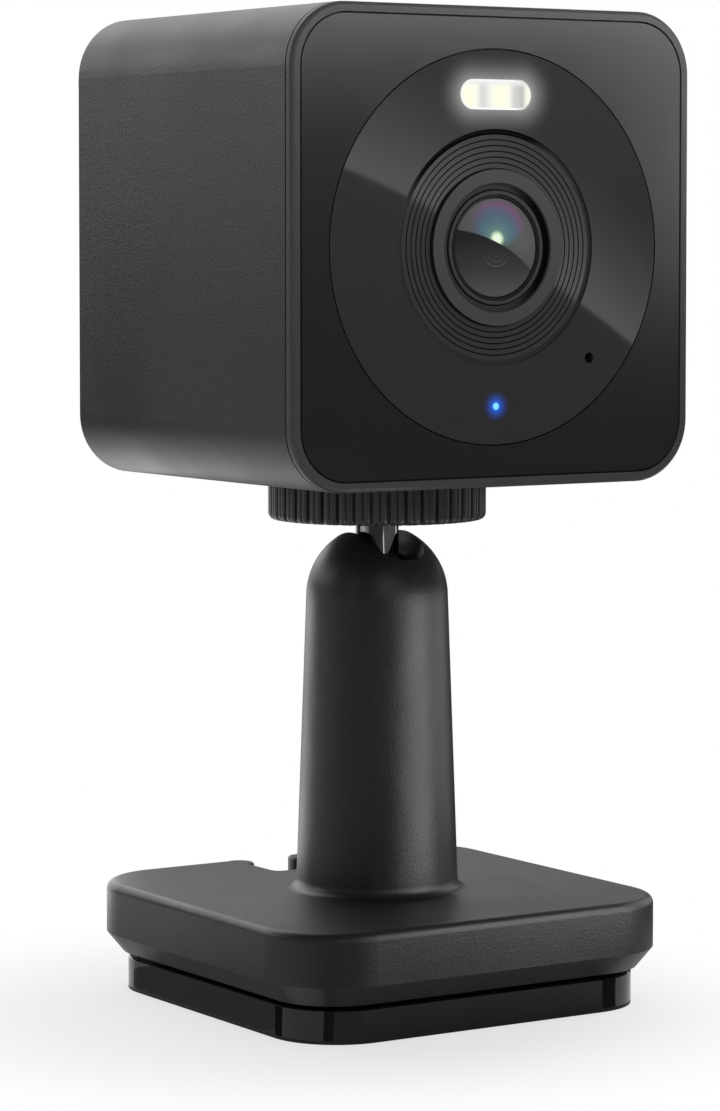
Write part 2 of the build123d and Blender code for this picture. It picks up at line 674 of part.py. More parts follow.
# Satin face plate: a stepped panel with the seat of the lens window and legs for the boards
with BuildPart() as face_plate:
    extrude(head_outline(FACE_Y, RIM_WIDTH + FACE_GROOVE), amount=-FACE_THICKNESS)
    extrude(head_outline(FACE_LEDGE_Y, OPENING_INSET + SEAT), amount=-FACE_STEP_DEPTH)
    with BuildSketch(front_plane(FACE_BACK_Y)):
        with GridLocations(FACE_LEG_SPACING, 0, 2, 1):
            Rectangle(FACE_LEG_SHOULDER, FACE_LEG_SHOULDER)
    extrude(amount=-FRONT_BOARD_GAP)
    with BuildSketch(front_plane(FACE_BACK_Y)):
        with GridLocations(FACE_LEG_SPACING, 0, 2, 1):
            Rectangle(FACE_LEG_SIZE, FACE_LEG_SIZE)
    extrude(amount=FACE_BACK_Y - SENSOR_BOARD_Y)
    with BuildSketch(front_plane(FACE_Y)):
        Circle(WINDOW_R + WINDOW_GROOVE)
    extrude(amount=-WINDOW_THICKNESS, mode=Mode.SUBTRACT)
    with BuildSketch(front_plane(FACE_Y)):
        Circle(BEZEL_FLANGE_R + SEAT)
        with Locations((0, LAMP_OFFSET)):
            SlotOverall(LAMP_WIDTH + 2 * (LAMP_FLANGE + SEAT), LAMP_HEIGHT + 2 * (LAMP_FLANGE + SEAT))
        with Locations((0, STATUS_OFFSET)):
            Circle(STATUS_BASE_R + SEAT)
        with Locations((MIC_X, MIC_Z)):
            Circle(MIC_GASKET_R + SEAT)
    extrude(amount=FACE_Y - FACE_BACK_Y, mode=Mode.SUBTRACT)
finish(face_plate, "face_plate")


# Glossy round window with openings for the lens, the lamp, the status light and the microphone
with BuildPart() as lens_window:
    with BuildSketch(front_plane(FACE_Y)):
        Circle(WINDOW_R)
        Circle(BEZEL_R + SEAT, mode=Mode.SUBTRACT)
        with Locations((0, LAMP_OFFSET)):
            SlotOverall(LAMP_WIDTH, LAMP_HEIGHT, mode=Mode.SUBTRACT)
        with Locations((0, STATUS_OFFSET)):
            Circle(STATUS_R, mode=Mode.SUBTRACT)
        with Locations((MIC_X, MIC_Z)):
            Circle(MIC_PORT_R, mode=Mode.SUBTRACT)
    extrude(amount=-WINDOW_THICKNESS)
finish(lens_window, "lens_window")


def lens_profile(y):
    """Plane for profiles that are turned about the lens axis: its x is the radius and its y is +Y."""
    return Plane(origin=(0, y, HEAD_CENTRE_Z), x_dir=(1, 0, 0), z_dir=(0, 0, 1))


LENS_AXIS = Axis((0, 0, HEAD_CENTRE_Z), (0, 1, 0))


# Ridged ring round the lens: a raised flat ring inside a run of concentric ridges
with BuildPart() as lens_bezel:
    with BuildSketch(lens_profile(FACE_Y)):
        with BuildLine():
            flange = Polyline(
                (BEZEL_BORE_R, BEZEL_BACK_Y - FACE_Y),
                (BEZEL_FLANGE_R, BEZEL_BACK_Y - FACE_Y),
                (BEZEL_FLANGE_R, WINDOW_THICKNESS),
                (BEZEL_R, WINDOW_THICKNESS),
                (BEZEL_R, RIDGE_DEPTH),
            )
            ridges = []
            for index in range(RIDGE_COUNT):
                ridges.append((BEZEL_R - (index + RIDGE_CREST_SHARE) * RIDGE_PITCH, 0))
                ridges.append((BEZEL_R - (index + 1) * RIDGE_PITCH, RIDGE_DEPTH))
            run = Polyline(flange @ 1, *ridges)
            ring = Polyline(
                run @ 1,
                (RING_OUTER_R, RIDGE_DEPTH),
                (RING_OUTER_R, -RING_PROUD),
                (RING_INNER_R, -RING_PROUD),
                (RING_INNER_R, RING_STEP),
                (BEZEL_BORE_R, RING_STEP),
                (BEZEL_BORE_R, BEZEL_BACK_Y - FACE_Y),
            )
        make_face()
    revolve(axis=LENS_AXIS)
finish(lens_bezel, "lens_bezel")


# Lens barrel with a bore for the front glass, a stop and a bore for the rear glass
with BuildPart() as lens_barrel:
    barrel_front = LENS_EDGE_Y - FACE_Y - BARREL_LIP / 2
    with BuildSketch(lens_profile(FACE_Y)):
        with BuildLine():
            Polyline(
                (LENS_R + SLIP, barrel_front),
                (BARREL_R - BARREL_LIP, barrel_front),
                (BARREL_R, barrel_front + BARREL_LIP),
                (BARREL_R, BARREL_LENGTH),
                (APERTURE_R, BARREL_LENGTH),
                (APERTURE_R, LENS_SPACING + REAR_LENS_THICKNESS),
                (REAR_LENS_R + SLIP, LENS_SPACING + REAR_LENS_THICKNESS),
                (REAR_LENS_R + SLIP, LENS_EDGE_Y - FACE_Y + LENS_EDGE_THICKNESS),
                (LENS_R + SLIP, LENS_EDGE_Y - FACE_Y + LENS_EDGE_THICKNESS),
                close=True,
            )
        make_face()
    revolve(axis=LENS_AXIS)
finish(lens_barrel, "lens_barrel")


# Domed front glass
with BuildPart() as front_lens:
    front_sag = LENS_DOME_R - sqrt(LENS_DOME_R**2 - LENS_R**2)
    back_sag = LENS_BACK_R - sqrt(LENS_BACK_R**2 - REAR_LENS_R**2)
    with BuildSketch(lens_profile(LENS_EDGE_Y)):
        with BuildLine():
            dome = RadiusArc((0, -front_sag), (LENS_R, 0), -LENS_DOME_R)
            side = Line(dome @ 1, (LENS_R, LENS_EDGE_THICKNESS))
            seat = Line(side @ 1, (REAR_LENS_R, LENS_EDGE_THICKNESS))
            hollow = RadiusArc(seat @ 1, (0, LENS_EDGE_THICKNESS - back_sag), LENS_BACK_R)
            Line(hollow @ 1, dome @ 0)
        make_face()
    revolve(axis=LENS_AXIS)
finish(front_lens, "front_lens")


# Rear glass deep in the barrel, domed on both faces
with BuildPart() as rear_lens:
    rear_sag = REAR_LENS_DOME_R - sqrt(REAR_LENS_DOME_R**2 - REAR_LENS_R**2)
    with BuildSketch(lens_profile(FACE_Y + LENS_SPACING)):
        with BuildLine():
            front = RadiusArc((0, -rear_sag), (REAR_LENS_R, 0), -REAR_LENS_DOME_R)
            side = Line(front @ 1, (REAR_LENS_R, REAR_LENS_THICKNESS))
            back = Line(side @ 1, (0, REAR_LENS_THICKNESS))
            Line(back @ 1, front @ 0)
        make_face()
    revolve(axis=LENS_AXIS)
finish(rear_lens, "rear_lens")


# Holder that carries the barrel over the sensor
with BuildPart() as lens_mount:
    with BuildSketch(front_plane(SENSOR_BOARD_Y)):
        RectangleRounded(MOUNT_BASE_SIZE, MOUNT_BASE_SIZE, MOUNT_TUBE_WALL)
    extrude(amount=MOUNT_BASE_HEIGHT)
    with BuildSketch(front_plane(SENSOR_BOARD_Y - MOUNT_BASE_HEIGHT)):
        Circle(BARREL_R + SLIP + MOUNT_TUBE_WALL)
    extrude(amount=MOUNT_TUBE_LENGTH - MOUNT_BASE_HEIGHT)
    with BuildSketch(front_plane(SENSOR_BOARD_Y - MOUNT_BASE_HEIGHT)):
        Circle(BARREL_R + SLIP)
    extrude(amount=MOUNT_TUBE_LENGTH - MOUNT_BASE_HEIGHT, mode=Mode.SUBTRACT)
    with BuildSketch(front_plane(SENSOR_BOARD_Y)):
        Circle(APERTURE_R)
    extrude(amount=MOUNT_BASE_HEIGHT, mode=Mode.SUBTRACT)
    with BuildSketch(front_plane(SENSOR_BOARD_Y)):
        Rectangle(MOUNT_CAVITY_SIZE, MOUNT_CAVITY_SIZE)
    extrude(amount=MOUNT_CAVITY_DEPTH, mode=Mode.SUBTRACT)
finish(lens_mount, "lens_mount")


# Infrared filter glued behind the holder's aperture
with BuildPart() as ir_filter:
    with BuildSketch(front_plane(SENSOR_BOARD_Y - MOUNT_CAVITY_DEPTH)):
        Rectangle(FILTER_SIZE, FILTER_SIZE)
    extrude(amount=-FILTER_THICKNESS)
finish(ir_filter, "ir_filter")


# Image sensor
with BuildPart() as image_sensor:
    with BuildSketch(front_plane(SENSOR_BOARD_Y)):
        Rectangle(SENSOR_WIDTH, SENSOR_HEIGHT)
    extrude(amount=CHIP_HEIGHT)
finish(image_sensor, "image_sensor")


# Sensor board on the face plate's legs
with BuildPart() as sensor_board:
    with BuildSketch(front_plane(SENSOR_BOARD_Y)):
        Rectangle(SENSOR_BOARD_WIDTH, SENSOR_BOARD_HEIGHT)
    extrude(amount=-BOARD_THICKNESS)
finish(sensor_board, "sensor_board")


# Ring-shaped front board on the legs' shoulders
with BuildPart() as front_board:
    with BuildSketch(front_plane(FRONT_BOARD_Y)):
        Circle(FRONT_BOARD_R)
        Circle(FRONT_BOARD_INNER_R, mode=Mode.SUBTRACT)
        with GridLocations(FACE_LEG_SPACING, 0, 2, 1):
            Rectangle(FACE_LEG_SIZE + 2 * SEAT, FACE_LEG_SIZE + 2 * SEAT, mode=Mode.SUBTRACT)
    extrude(amount=-BOARD_THICKNESS)
finish(front_board, "front_board")


# Diffuser of the lamp, with a flange behind the window
with BuildPart() as lamp_diffuser:
    with BuildSketch(at(front_plane(FACE_Y), 0, LAMP_OFFSET)):
        SlotOverall(LAMP_WIDTH - 2 * SEAT, LAMP_HEIGHT - 2 * SEAT)
    extrude(amount=-WINDOW_THICKNESS)
    with BuildSketch(at(front_plane(WINDOW_BACK_Y), 0, LAMP_OFFSET)):
        SlotOverall(LAMP_WIDTH + 2 * LAMP_FLANGE, LAMP_HEIGHT + 2 * LAMP_FLANGE)
    extrude(amount=-LAMP_FLANGE_DEPTH)
finish(lamp_diffuser, "lamp_diffuser")


# The lamp's two light-emitting chips
with BuildPart() as lamp_leds:
    with BuildSketch(at(front_plane(FRONT_BOARD_Y), 0, LAMP_OFFSET)):
        with GridLocations(LAMP_LED_SPACING, 0, 2, 1):
            Rectangle(LAMP_LED_SIZE, LAMP_LED_SIZE)
    extrude(amount=CHIP_HEIGHT)
finish(lamp_leds, "lamp_leds")


# Light pipe of the status light
with BuildPart() as status_light_pipe:
    with BuildSketch(at(front_plane(FACE_Y), 0, STATUS_OFFSET)):
        Circle(STATUS_R - SLIP)
    extrude(amount=-WINDOW_THICKNESS)
    with BuildSketch(at(front_plane(WINDOW_BACK_Y), 0, STATUS_OFFSET)):
        Circle(STATUS_BASE_R)
    extrude(amount=WINDOW_BACK_Y - CHIP_FRONT_Y)
finish(status_light_pipe, "status_light_pipe")


# The status light's chip
with BuildPart() as status_led:
    with BuildSketch(at(front_plane(FRONT_BOARD_Y), 0, STATUS_OFFSET)):
        Rectangle(2 * CHIP_HEIGHT, CHIP_HEIGHT)
    extrude(amount=CHIP_HEIGHT)
finish(status_led, "status_led")


# Microphone on the front board
with BuildPart() as microphone:
    with BuildSketch(at(front_plane(FRONT_BOARD_Y), MIC_X, MIC_Z)):
        Rectangle(2 * MIC_GASKET_R, 2 * MIC_GASKET_R)
    extrude(amount=CHIP_HEIGHT)
finish(microphone, "microphone")


# Rubber tube that seals the microphone to the window's port
with BuildPart() as mic_gasket:
    with BuildSketch(at(front_plane(WINDOW_BACK_Y), MIC_X, MIC_Z)):
        Circle(MIC_GASKET_R)
        Circle(MIC_PORT_R + SEAT, mode=Mode.SUBTRACT)
    extrude(amount=WINDOW_BACK_Y - CHIP_FRONT_Y)
finish(mic_gasket, "mic_gasket")


# Main board with notched corners
with BuildPart() as main_board:
    with BuildSketch(front_plane(MAIN_BOARD_Y)):
        Rectangle(MAIN_BOARD_SIZE, MAIN_BOARD_SIZE)
        with GridLocations(MAIN_BOARD_SIZE, MAIN_BOARD_SIZE, 2, 2):
            Rectangle(2 * MAIN_BOARD_CORNER, 2 * MAIN_BOARD_CORNER, mode=Mode.SUBTRACT)
    extrude(amount=-BOARD_THICKNESS)
finish(main_board, "main_board")


# Pressed can over the processor, open towards the board
with BuildPart() as shield_can:
    with BuildSketch(at(front_plane(MAIN_BOARD_Y), 0, SHIELD_OFFSET)):
        Rectangle(SHIELD_SIZE, SHIELD_SIZE)
    extrude(amount=SHIELD_HEIGHT)
    offset(amount=-SHIELD_WALL, openings=shield_can.faces().sort_by(Axis.Y)[-1])
finish(shield_can, "shield_can")


# Processor under the can
with BuildPart() as processor:
    with BuildSketch(at(front_plane(MAIN_BOARD_Y), 0, SHIELD_OFFSET)):
        Rectangle(SHIELD_SIZE / 2, SHIELD_SIZE / 2)
    extrude(amount=CHIP_HEIGHT)
finish(processor, "processor")


# Sockets of the flat ribbon, one on each board
with BuildPart() as ribbon_sockets:
    with BuildSketch(at(front_plane(SENSOR_BOARD_Y + BOARD_THICKNESS), 0, RIBBON_OFFSET)):
        Rectangle(RIBBON_WIDTH + RIBBON_SOCKET_DEPTH, RIBBON_SOCKET_HEIGHT)
    extrude(amount=-RIBBON_SOCKET_DEPTH)
    with BuildSketch(at(front_plane(MAIN_BOARD_Y), 0, RIBBON_OFFSET)):
        Rectangle(RIBBON_WIDTH + RIBBON_SOCKET_DEPTH, RIBBON_SOCKET_HEIGHT)
    extrude(amount=RIBBON_SOCKET_DEPTH)
finish(ribbon_sockets, "ribbon_sockets")


# Flat ribbon between the boards
with BuildPart() as sensor_ribbon:
    ribbon_start = SENSOR_BOARD_Y + BOARD_THICKNESS + RIBBON_SOCKET_DEPTH
    with BuildSketch(at(front_plane(ribbon_start), 0, RIBBON_OFFSET)):
        Rectangle(RIBBON_WIDTH, RIBBON_THICKNESS)
    extrude(amount=ribbon_start + RIBBON_SOCKET_DEPTH - MAIN_BOARD_Y)
finish(sensor_ribbon, "sensor_ribbon")


# Wireless antenna strip stuck under the top wall
with BuildPart() as antenna:
    antenna_top = HEAD_BOTTOM + HEAD_HEIGHT - HOUSING_WALL
    with BuildSketch(Plane.XY.offset(antenna_top)):
        with Locations((0, FRONT_Y + ANTENNA_SETBACK)):
            Rectangle(ANTENNA_LENGTH, ANTENNA_WIDTH)
    extrude(amount=-ANTENNA_THICKNESS)
finish(antenna, "antenna")


# Gasket between the ledge and the rear cover
with BuildPart() as rear_gasket:
    extrude(head_outline(REAR_LEDGE_Y, HOUSING_WALL + SEAT), amount=-REAR_GASKET_THICKNESS)
    extrude(
        head_outline(REAR_LEDGE_Y, HOUSING_WALL + REAR_LEDGE_WIDTH - SEAT),
        amount=-REAR_GASKET_THICKNESS,
        mode=Mode.SUBTRACT,
    )
finish(rear_gasket, "rear_gasket")


# Rear cover with the speaker grille, the power inlet's opening, the card slot, the door's recess and posts
with BuildPart() as rear_cover:
    extrude(head_outline(COVER_IN_Y, HOUSING_WALL + SEAT), amount=-REAR_COVER_THICKNESS)
    # Posts for the main board
    with BuildSketch(front_plane(COVER_IN_Y)):
        with GridLocations(MAIN_POST_SPACING, 0, 2, 1):
            Rectangle(MAIN_POST_SIZE, MAIN_POST_SIZE)
    extrude(amount=COVER_IN_Y - MAIN_BOARD_BACK_Y)
    # Speaker grille in rings
    with BuildSketch(at(front_plane(COVER_IN_Y), 0, SPEAKER_OFFSET)):
        RegularPolygon(GRILLE_HOLE_R, GRILLE_SIDES)
        for ring_index in range(1, GRILLE_RINGS + 1):
            with PolarLocations(ring_index * GRILLE_PITCH, GRILLE_SIDES * ring_index):
                RegularPolygon(GRILLE_HOLE_R, GRILLE_SIDES)
    extrude(amount=-REAR_COVER_THICKNESS, mode=Mode.SUBTRACT)
    # Opening of the power inlet, hole of the button, recess and slot of the card door
    with BuildSketch(at(front_plane(COVER_IN_Y), 0, INLET_OFFSET)):
        SlotOverall(INLET_WIDTH + 2 * INLET_CLEARANCE, INLET_HEIGHT + 2 * INLET_CLEARANCE)
    extrude(amount=-REAR_COVER_THICKNESS, mode=Mode.SUBTRACT)
    with BuildSketch(at(front_plane(COVER_IN_Y), BUTTON_X, BUTTON_OFFSET)):
        Circle(BUTTON_R + SEAT)
    extrude(amount=-REAR_COVER_THICKNESS, mode=Mode.SUBTRACT)
    with BuildSketch(at(front_plane(COVER_IN_Y), CARD_X, CARD_OFFSET)):
        Rectangle(CARD_SLOT_WIDTH, CARD_SLOT_HEIGHT)
    extrude(amount=-REAR_COVER_THICKNESS, mode=Mode.SUBTRACT)
    recess_left = CARD_X - DOOR_WIDTH / 2 - DOOR_CLEARANCE
    recess_right = DOOR_AXIS_X + DOOR_KNUCKLE_R + DOOR_CLEARANCE
    with BuildSketch(at(front_plane(COVER_OUT_Y), (recess_left + recess_right) / 2, CARD_OFFSET)):
        Rectangle(recess_right - recess_left, DOOR_HEIGHT + 2 * DOOR_CLEARANCE)
    extrude(amount=2 * DOOR_KNUCKLE_R + FLAT_GAP, mode=Mode.SUBTRACT)
    with BuildSketch(at(front_plane(COVER_OUT_Y), recess_left, CARD_OFFSET)):
        Circle(DOOR_PULL_R)
    extrude(amount=DOOR_PULL_DEPTH, mode=Mode.SUBTRACT)
    # Holes for the ends of the door's pin
    pin_reach = DOOR_HEIGHT / 2 + DOOR_CLEARANCE + DOOR_PIN_BITE
    with BuildSketch(Plane.XY.offset(HEAD_CENTRE_Z + CARD_OFFSET)):
        with Locations((DOOR_AXIS_X, DOOR_AXIS_Y)):
            Circle(DOOR_PIN_R + SLIP)
    extrude(amount=pin_reach, both=True, mode=Mode.SUBTRACT)
finish(rear_cover, "rear_cover")


# Speaker: magnet, basket and dished cone
with BuildPart() as speaker:
    speaker_back_y = COVER_IN_Y - SPEAKER_GASKET
    speaker_plane = at(front_plane(speaker_back_y), 0, SPEAKER_OFFSET)
    with BuildSketch(speaker_plane):
        Circle(SPEAKER_R)
    extrude(amount=SPEAKER_RIM_DEPTH)
    with BuildSketch(speaker_plane.offset(SPEAKER_RIM_DEPTH)):
        Circle(SPEAKER_MAGNET_R)
    extrude(amount=SPEAKER_DEPTH - SPEAKER_RIM_DEPTH)
    with BuildSketch(speaker_plane):
        Circle(SPEAKER_CONE_R)
    with BuildSketch(speaker_plane.offset(SPEAKER_CONE_DEPTH)):
        Circle(SPEAKER_CONE_R / 2)
    loft(mode=Mode.SUBTRACT)
finish(speaker, "speaker")


# Foam ring between the speaker and the rear cover
with BuildPart() as speaker_gasket:
    with BuildSketch(at(front_plane(COVER_IN_Y), 0, SPEAKER_OFFSET)):
        Circle(SPEAKER_R)
        Circle(SPEAKER_R - SPEAKER_RIM, mode=Mode.SUBTRACT)
    extrude(amount=SPEAKER_GASKET)
finish(speaker_gasket, "speaker_gasket")


# Power inlet: a metal shell round a contact tongue, standing on the main board
with BuildPart() as power_inlet:
    inlet_plane = at(front_plane(COVER_OUT_Y - INLET_INSET), 0, INLET_OFFSET)
    with BuildSketch(inlet_plane):
        SlotOverall(INLET_WIDTH, INLET_HEIGHT)
    extrude(amount=COVER_OUT_Y - INLET_INSET - MAIN_BOARD_BACK_Y)
    with BuildSketch(inlet_plane):
        SlotOverall(INLET_WIDTH - 2 * INLET_WALL, INLET_HEIGHT - 2 * INLET_WALL)
    extrude(amount=INLET_DEPTH, mode=Mode.SUBTRACT)
    with BuildSketch(inlet_plane.offset(TONGUE_INSET)):
        Rectangle(TONGUE_WIDTH, TONGUE_HEIGHT)
    extrude(amount=INLET_DEPTH - TONGUE_INSET)
finish(power_inlet, "power_inlet")


# Card socket standing on the main board behind the door
with BuildPart() as card_socket:
    socket_plane = at(front_plane(COVER_IN_Y - SEAT), CARD_X, CARD_OFFSET)
    with BuildSketch(socket_plane):
        Rectangle(CARD_SOCKET_WIDTH, CARD_SOCKET_HEIGHT)
    extrude(amount=COVER_IN_Y - SEAT - MAIN_BOARD_BACK_Y)
    with BuildSketch(socket_plane):
        Rectangle(CARD_SLOT_WIDTH, CARD_SLOT_HEIGHT)
    extrude(amount=CARD_SLOT_DEPTH, mode=Mode.SUBTRACT)
finish(card_socket, "card_socket")


# Hinged door over the card slot, with a knuckle along one edge
with BuildPart() as card_door:
    with BuildSketch(at(front_plane(DOOR_OUT_Y), CARD_X, CARD_OFFSET)):
        Rectangle(DOOR_WIDTH, DOOR_HEIGHT)
    extrude(amount=DOOR_THICKNESS)
    fillet(card_door.edges().filter_by(Axis.Y).group_by(Axis.X)[0], DOOR_KNUCKLE_R)
    with BuildSketch(Plane.XY.offset(HEAD_CENTRE_Z + CARD_OFFSET)):
        with Locations((DOOR_AXIS_X, DOOR_AXIS_Y)):
            Circle(DOOR_KNUCKLE_R)
    extrude(amount=DOOR_HEIGHT / 2, both=True)
    with BuildSketch(Plane.XY.offset(HEAD_CENTRE_Z + CARD_OFFSET)):
        with Locations((DOOR_AXIS_X, DOOR_AXIS_Y)):
            Circle(DOOR_PIN_R + SLIP)
    extrude(amount=DOOR_HEIGHT, both=True, mode=Mode.SUBTRACT)
finish(card_door, "card_door")


# Steel pin of the card door
with BuildPart() as door_pin:
    with BuildSketch(Plane.XY.offset(HEAD_CENTRE_Z + CARD_OFFSET)):
        with Locations((DOOR_AXIS_X, DOOR_AXIS_Y)):
            Circle(DOOR_PIN_R)
    extrude(amount=DOOR_HEIGHT / 2 + DOOR_CLEARANCE + DOOR_PIN_BITE - SLIP, both=True)
finish(door_pin, "door_pin")


# Setup button: cap, retaining flange and stem
with BuildPart() as setup_button:
    button_plane = at(front_plane(BUTTON_OUT_Y), BUTTON_X, BUTTON_OFFSET)
    with BuildSketch(button_plane):
        Circle(BUTTON_R)
    extrude(amount=BUTTON_OUT_Y - COVER_IN_Y + SEAT)
    chamfer(setup_button.faces().sort_by(Axis.Y)[-1].edges(), BUTTON_EDGE)
    with BuildSketch(at(front_plane(COVER_IN_Y - SEAT), BUTTON_X, BUTTON_OFFSET)):
        Circle(BUTTON_FLANGE_R)
    extrude(amount=BUTTON_FLANGE)
    with BuildSketch(button_plane):
        Circle(BUTTON_STEM_R)
    extrude(amount=BUTTON_OUT_Y - PLUNGER_OUT_Y)
finish(setup_button, "setup_button")


# Switch under the button: a case with a well, and the plunger that the stem presses
with BuildPart() as switch_case:
    switch_plane = at(rear_plane(MAIN_BOARD_BACK_Y), -BUTTON_X, BUTTON_OFFSET)
    with BuildSketch(switch_plane):
        Rectangle(SWITCH_SIZE, SWITCH_SIZE)
    extrude(amount=SWITCH_HEIGHT)
    with BuildSketch(switch_plane.offset(SWITCH_HEIGHT)):
        Circle(PLUNGER_R + SLIP)
    extrude(amount=BUTTON_TRAVEL + SEAT - SWITCH_HEIGHT, mode=Mode.SUBTRACT)
finish(switch_case, "switch_case")

with BuildPart() as switch_plunger:
    with BuildSketch(at(front_plane(PLUNGER_OUT_Y), BUTTON_X, BUTTON_OFFSET)):
        Circle(PLUNGER_R)
    extrude(amount=PLUNGER_HEIGHT)
finish(switch_plunger, "switch_plunger")
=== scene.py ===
import json
from math import cos, pi, radians, sin, sqrt

import bmesh
import bpy
from mathutils import Matrix, Vector


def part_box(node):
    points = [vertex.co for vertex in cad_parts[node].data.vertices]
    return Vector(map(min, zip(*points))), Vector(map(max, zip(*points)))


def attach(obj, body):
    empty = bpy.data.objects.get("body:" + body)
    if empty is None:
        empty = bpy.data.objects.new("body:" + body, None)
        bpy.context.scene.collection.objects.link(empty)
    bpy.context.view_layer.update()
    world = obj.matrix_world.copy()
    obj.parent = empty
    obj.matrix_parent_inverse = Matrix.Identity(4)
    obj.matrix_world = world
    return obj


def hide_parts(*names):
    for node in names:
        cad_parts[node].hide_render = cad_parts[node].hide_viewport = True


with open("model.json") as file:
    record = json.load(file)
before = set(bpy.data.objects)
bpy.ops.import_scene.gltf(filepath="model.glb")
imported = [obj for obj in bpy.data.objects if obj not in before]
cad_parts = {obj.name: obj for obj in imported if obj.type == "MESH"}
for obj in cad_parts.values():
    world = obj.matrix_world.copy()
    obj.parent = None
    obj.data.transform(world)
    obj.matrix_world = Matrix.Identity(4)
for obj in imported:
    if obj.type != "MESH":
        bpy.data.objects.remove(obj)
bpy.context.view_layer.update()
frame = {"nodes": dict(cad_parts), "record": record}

# Everything is in metres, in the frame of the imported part: +Z is up and the lens looks along -Y.
# Only the stage's calls, further down, are written in millimetres and degrees.
MM = 0.001
scene = bpy.context.scene
nodes = frame["nodes"]

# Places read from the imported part
window_low, window_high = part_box("lens_window")
FACE_Y = window_low.y
LENS_Z = (window_low.z + window_high.z) / 2
WINDOW_BACK = window_high.y - FACE_Y
lamp_low, lamp_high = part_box("lamp_diffuser")
LAMP_Z = (lamp_low.z + lamp_high.z) / 2
status_low, status_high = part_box("status_light_pipe")
STATUS_Z = (status_low.z + status_high.z) / 2
wheel_low, wheel_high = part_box("lock_wheel")
lens_low, lens_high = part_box("front_lens")
LENS_R = (lens_high.x - lens_low.x) / 2
_, bezel_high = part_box("lens_bezel")
_, plate_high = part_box("mounting_plate")


# Camera of the photograph: a pinhole fitted to the edges of head, window, post and base
IMAGE_HEIGHT = 1111
FOCAL_PIXELS = 3899.0
AXIS_PIXEL_Y = 449.2
CAMERA_PLACE = Vector((-244.93, -376.29, 88.59)) * MM
CAMERA_AZIMUTH = radians(-32.809)
CAMERA_PITCH = radians(3.212)
SENSOR = 36.0


def make_camera():
    """The photograph's camera, with the picture's axis above the middle of the frame."""
    data = bpy.data.cameras.new("camera")
    data.sensor_width = SENSOR
    data.lens = FOCAL_PIXELS * SENSOR / IMAGE_HEIGHT
    data.shift_y = (AXIS_PIXEL_Y - IMAGE_HEIGHT / 2) / IMAGE_HEIGHT
    data.clip_start = 10 * MM
    data.clip_end = 20.0
    camera = bpy.data.objects.new("camera", data)
    scene.collection.objects.link(camera)
    right = Vector((cos(CAMERA_AZIMUTH), sin(CAMERA_AZIMUTH), 0))
    level = Vector((-sin(CAMERA_AZIMUTH), cos(CAMERA_AZIMUTH), 0))
    forward = level * cos(CAMERA_PITCH) - Vector((0, 0, sin(CAMERA_PITCH)))
    up = right.cross(forward)
    turn = Matrix((right, up, -forward)).transposed().to_4x4()
    camera.matrix_world = Matrix.Translation(CAMERA_PLACE) @ turn
    scene.camera = camera


make_camera()


# Material building

NOISE_LOW = 0.3
NOISE_HIGH = 0.7


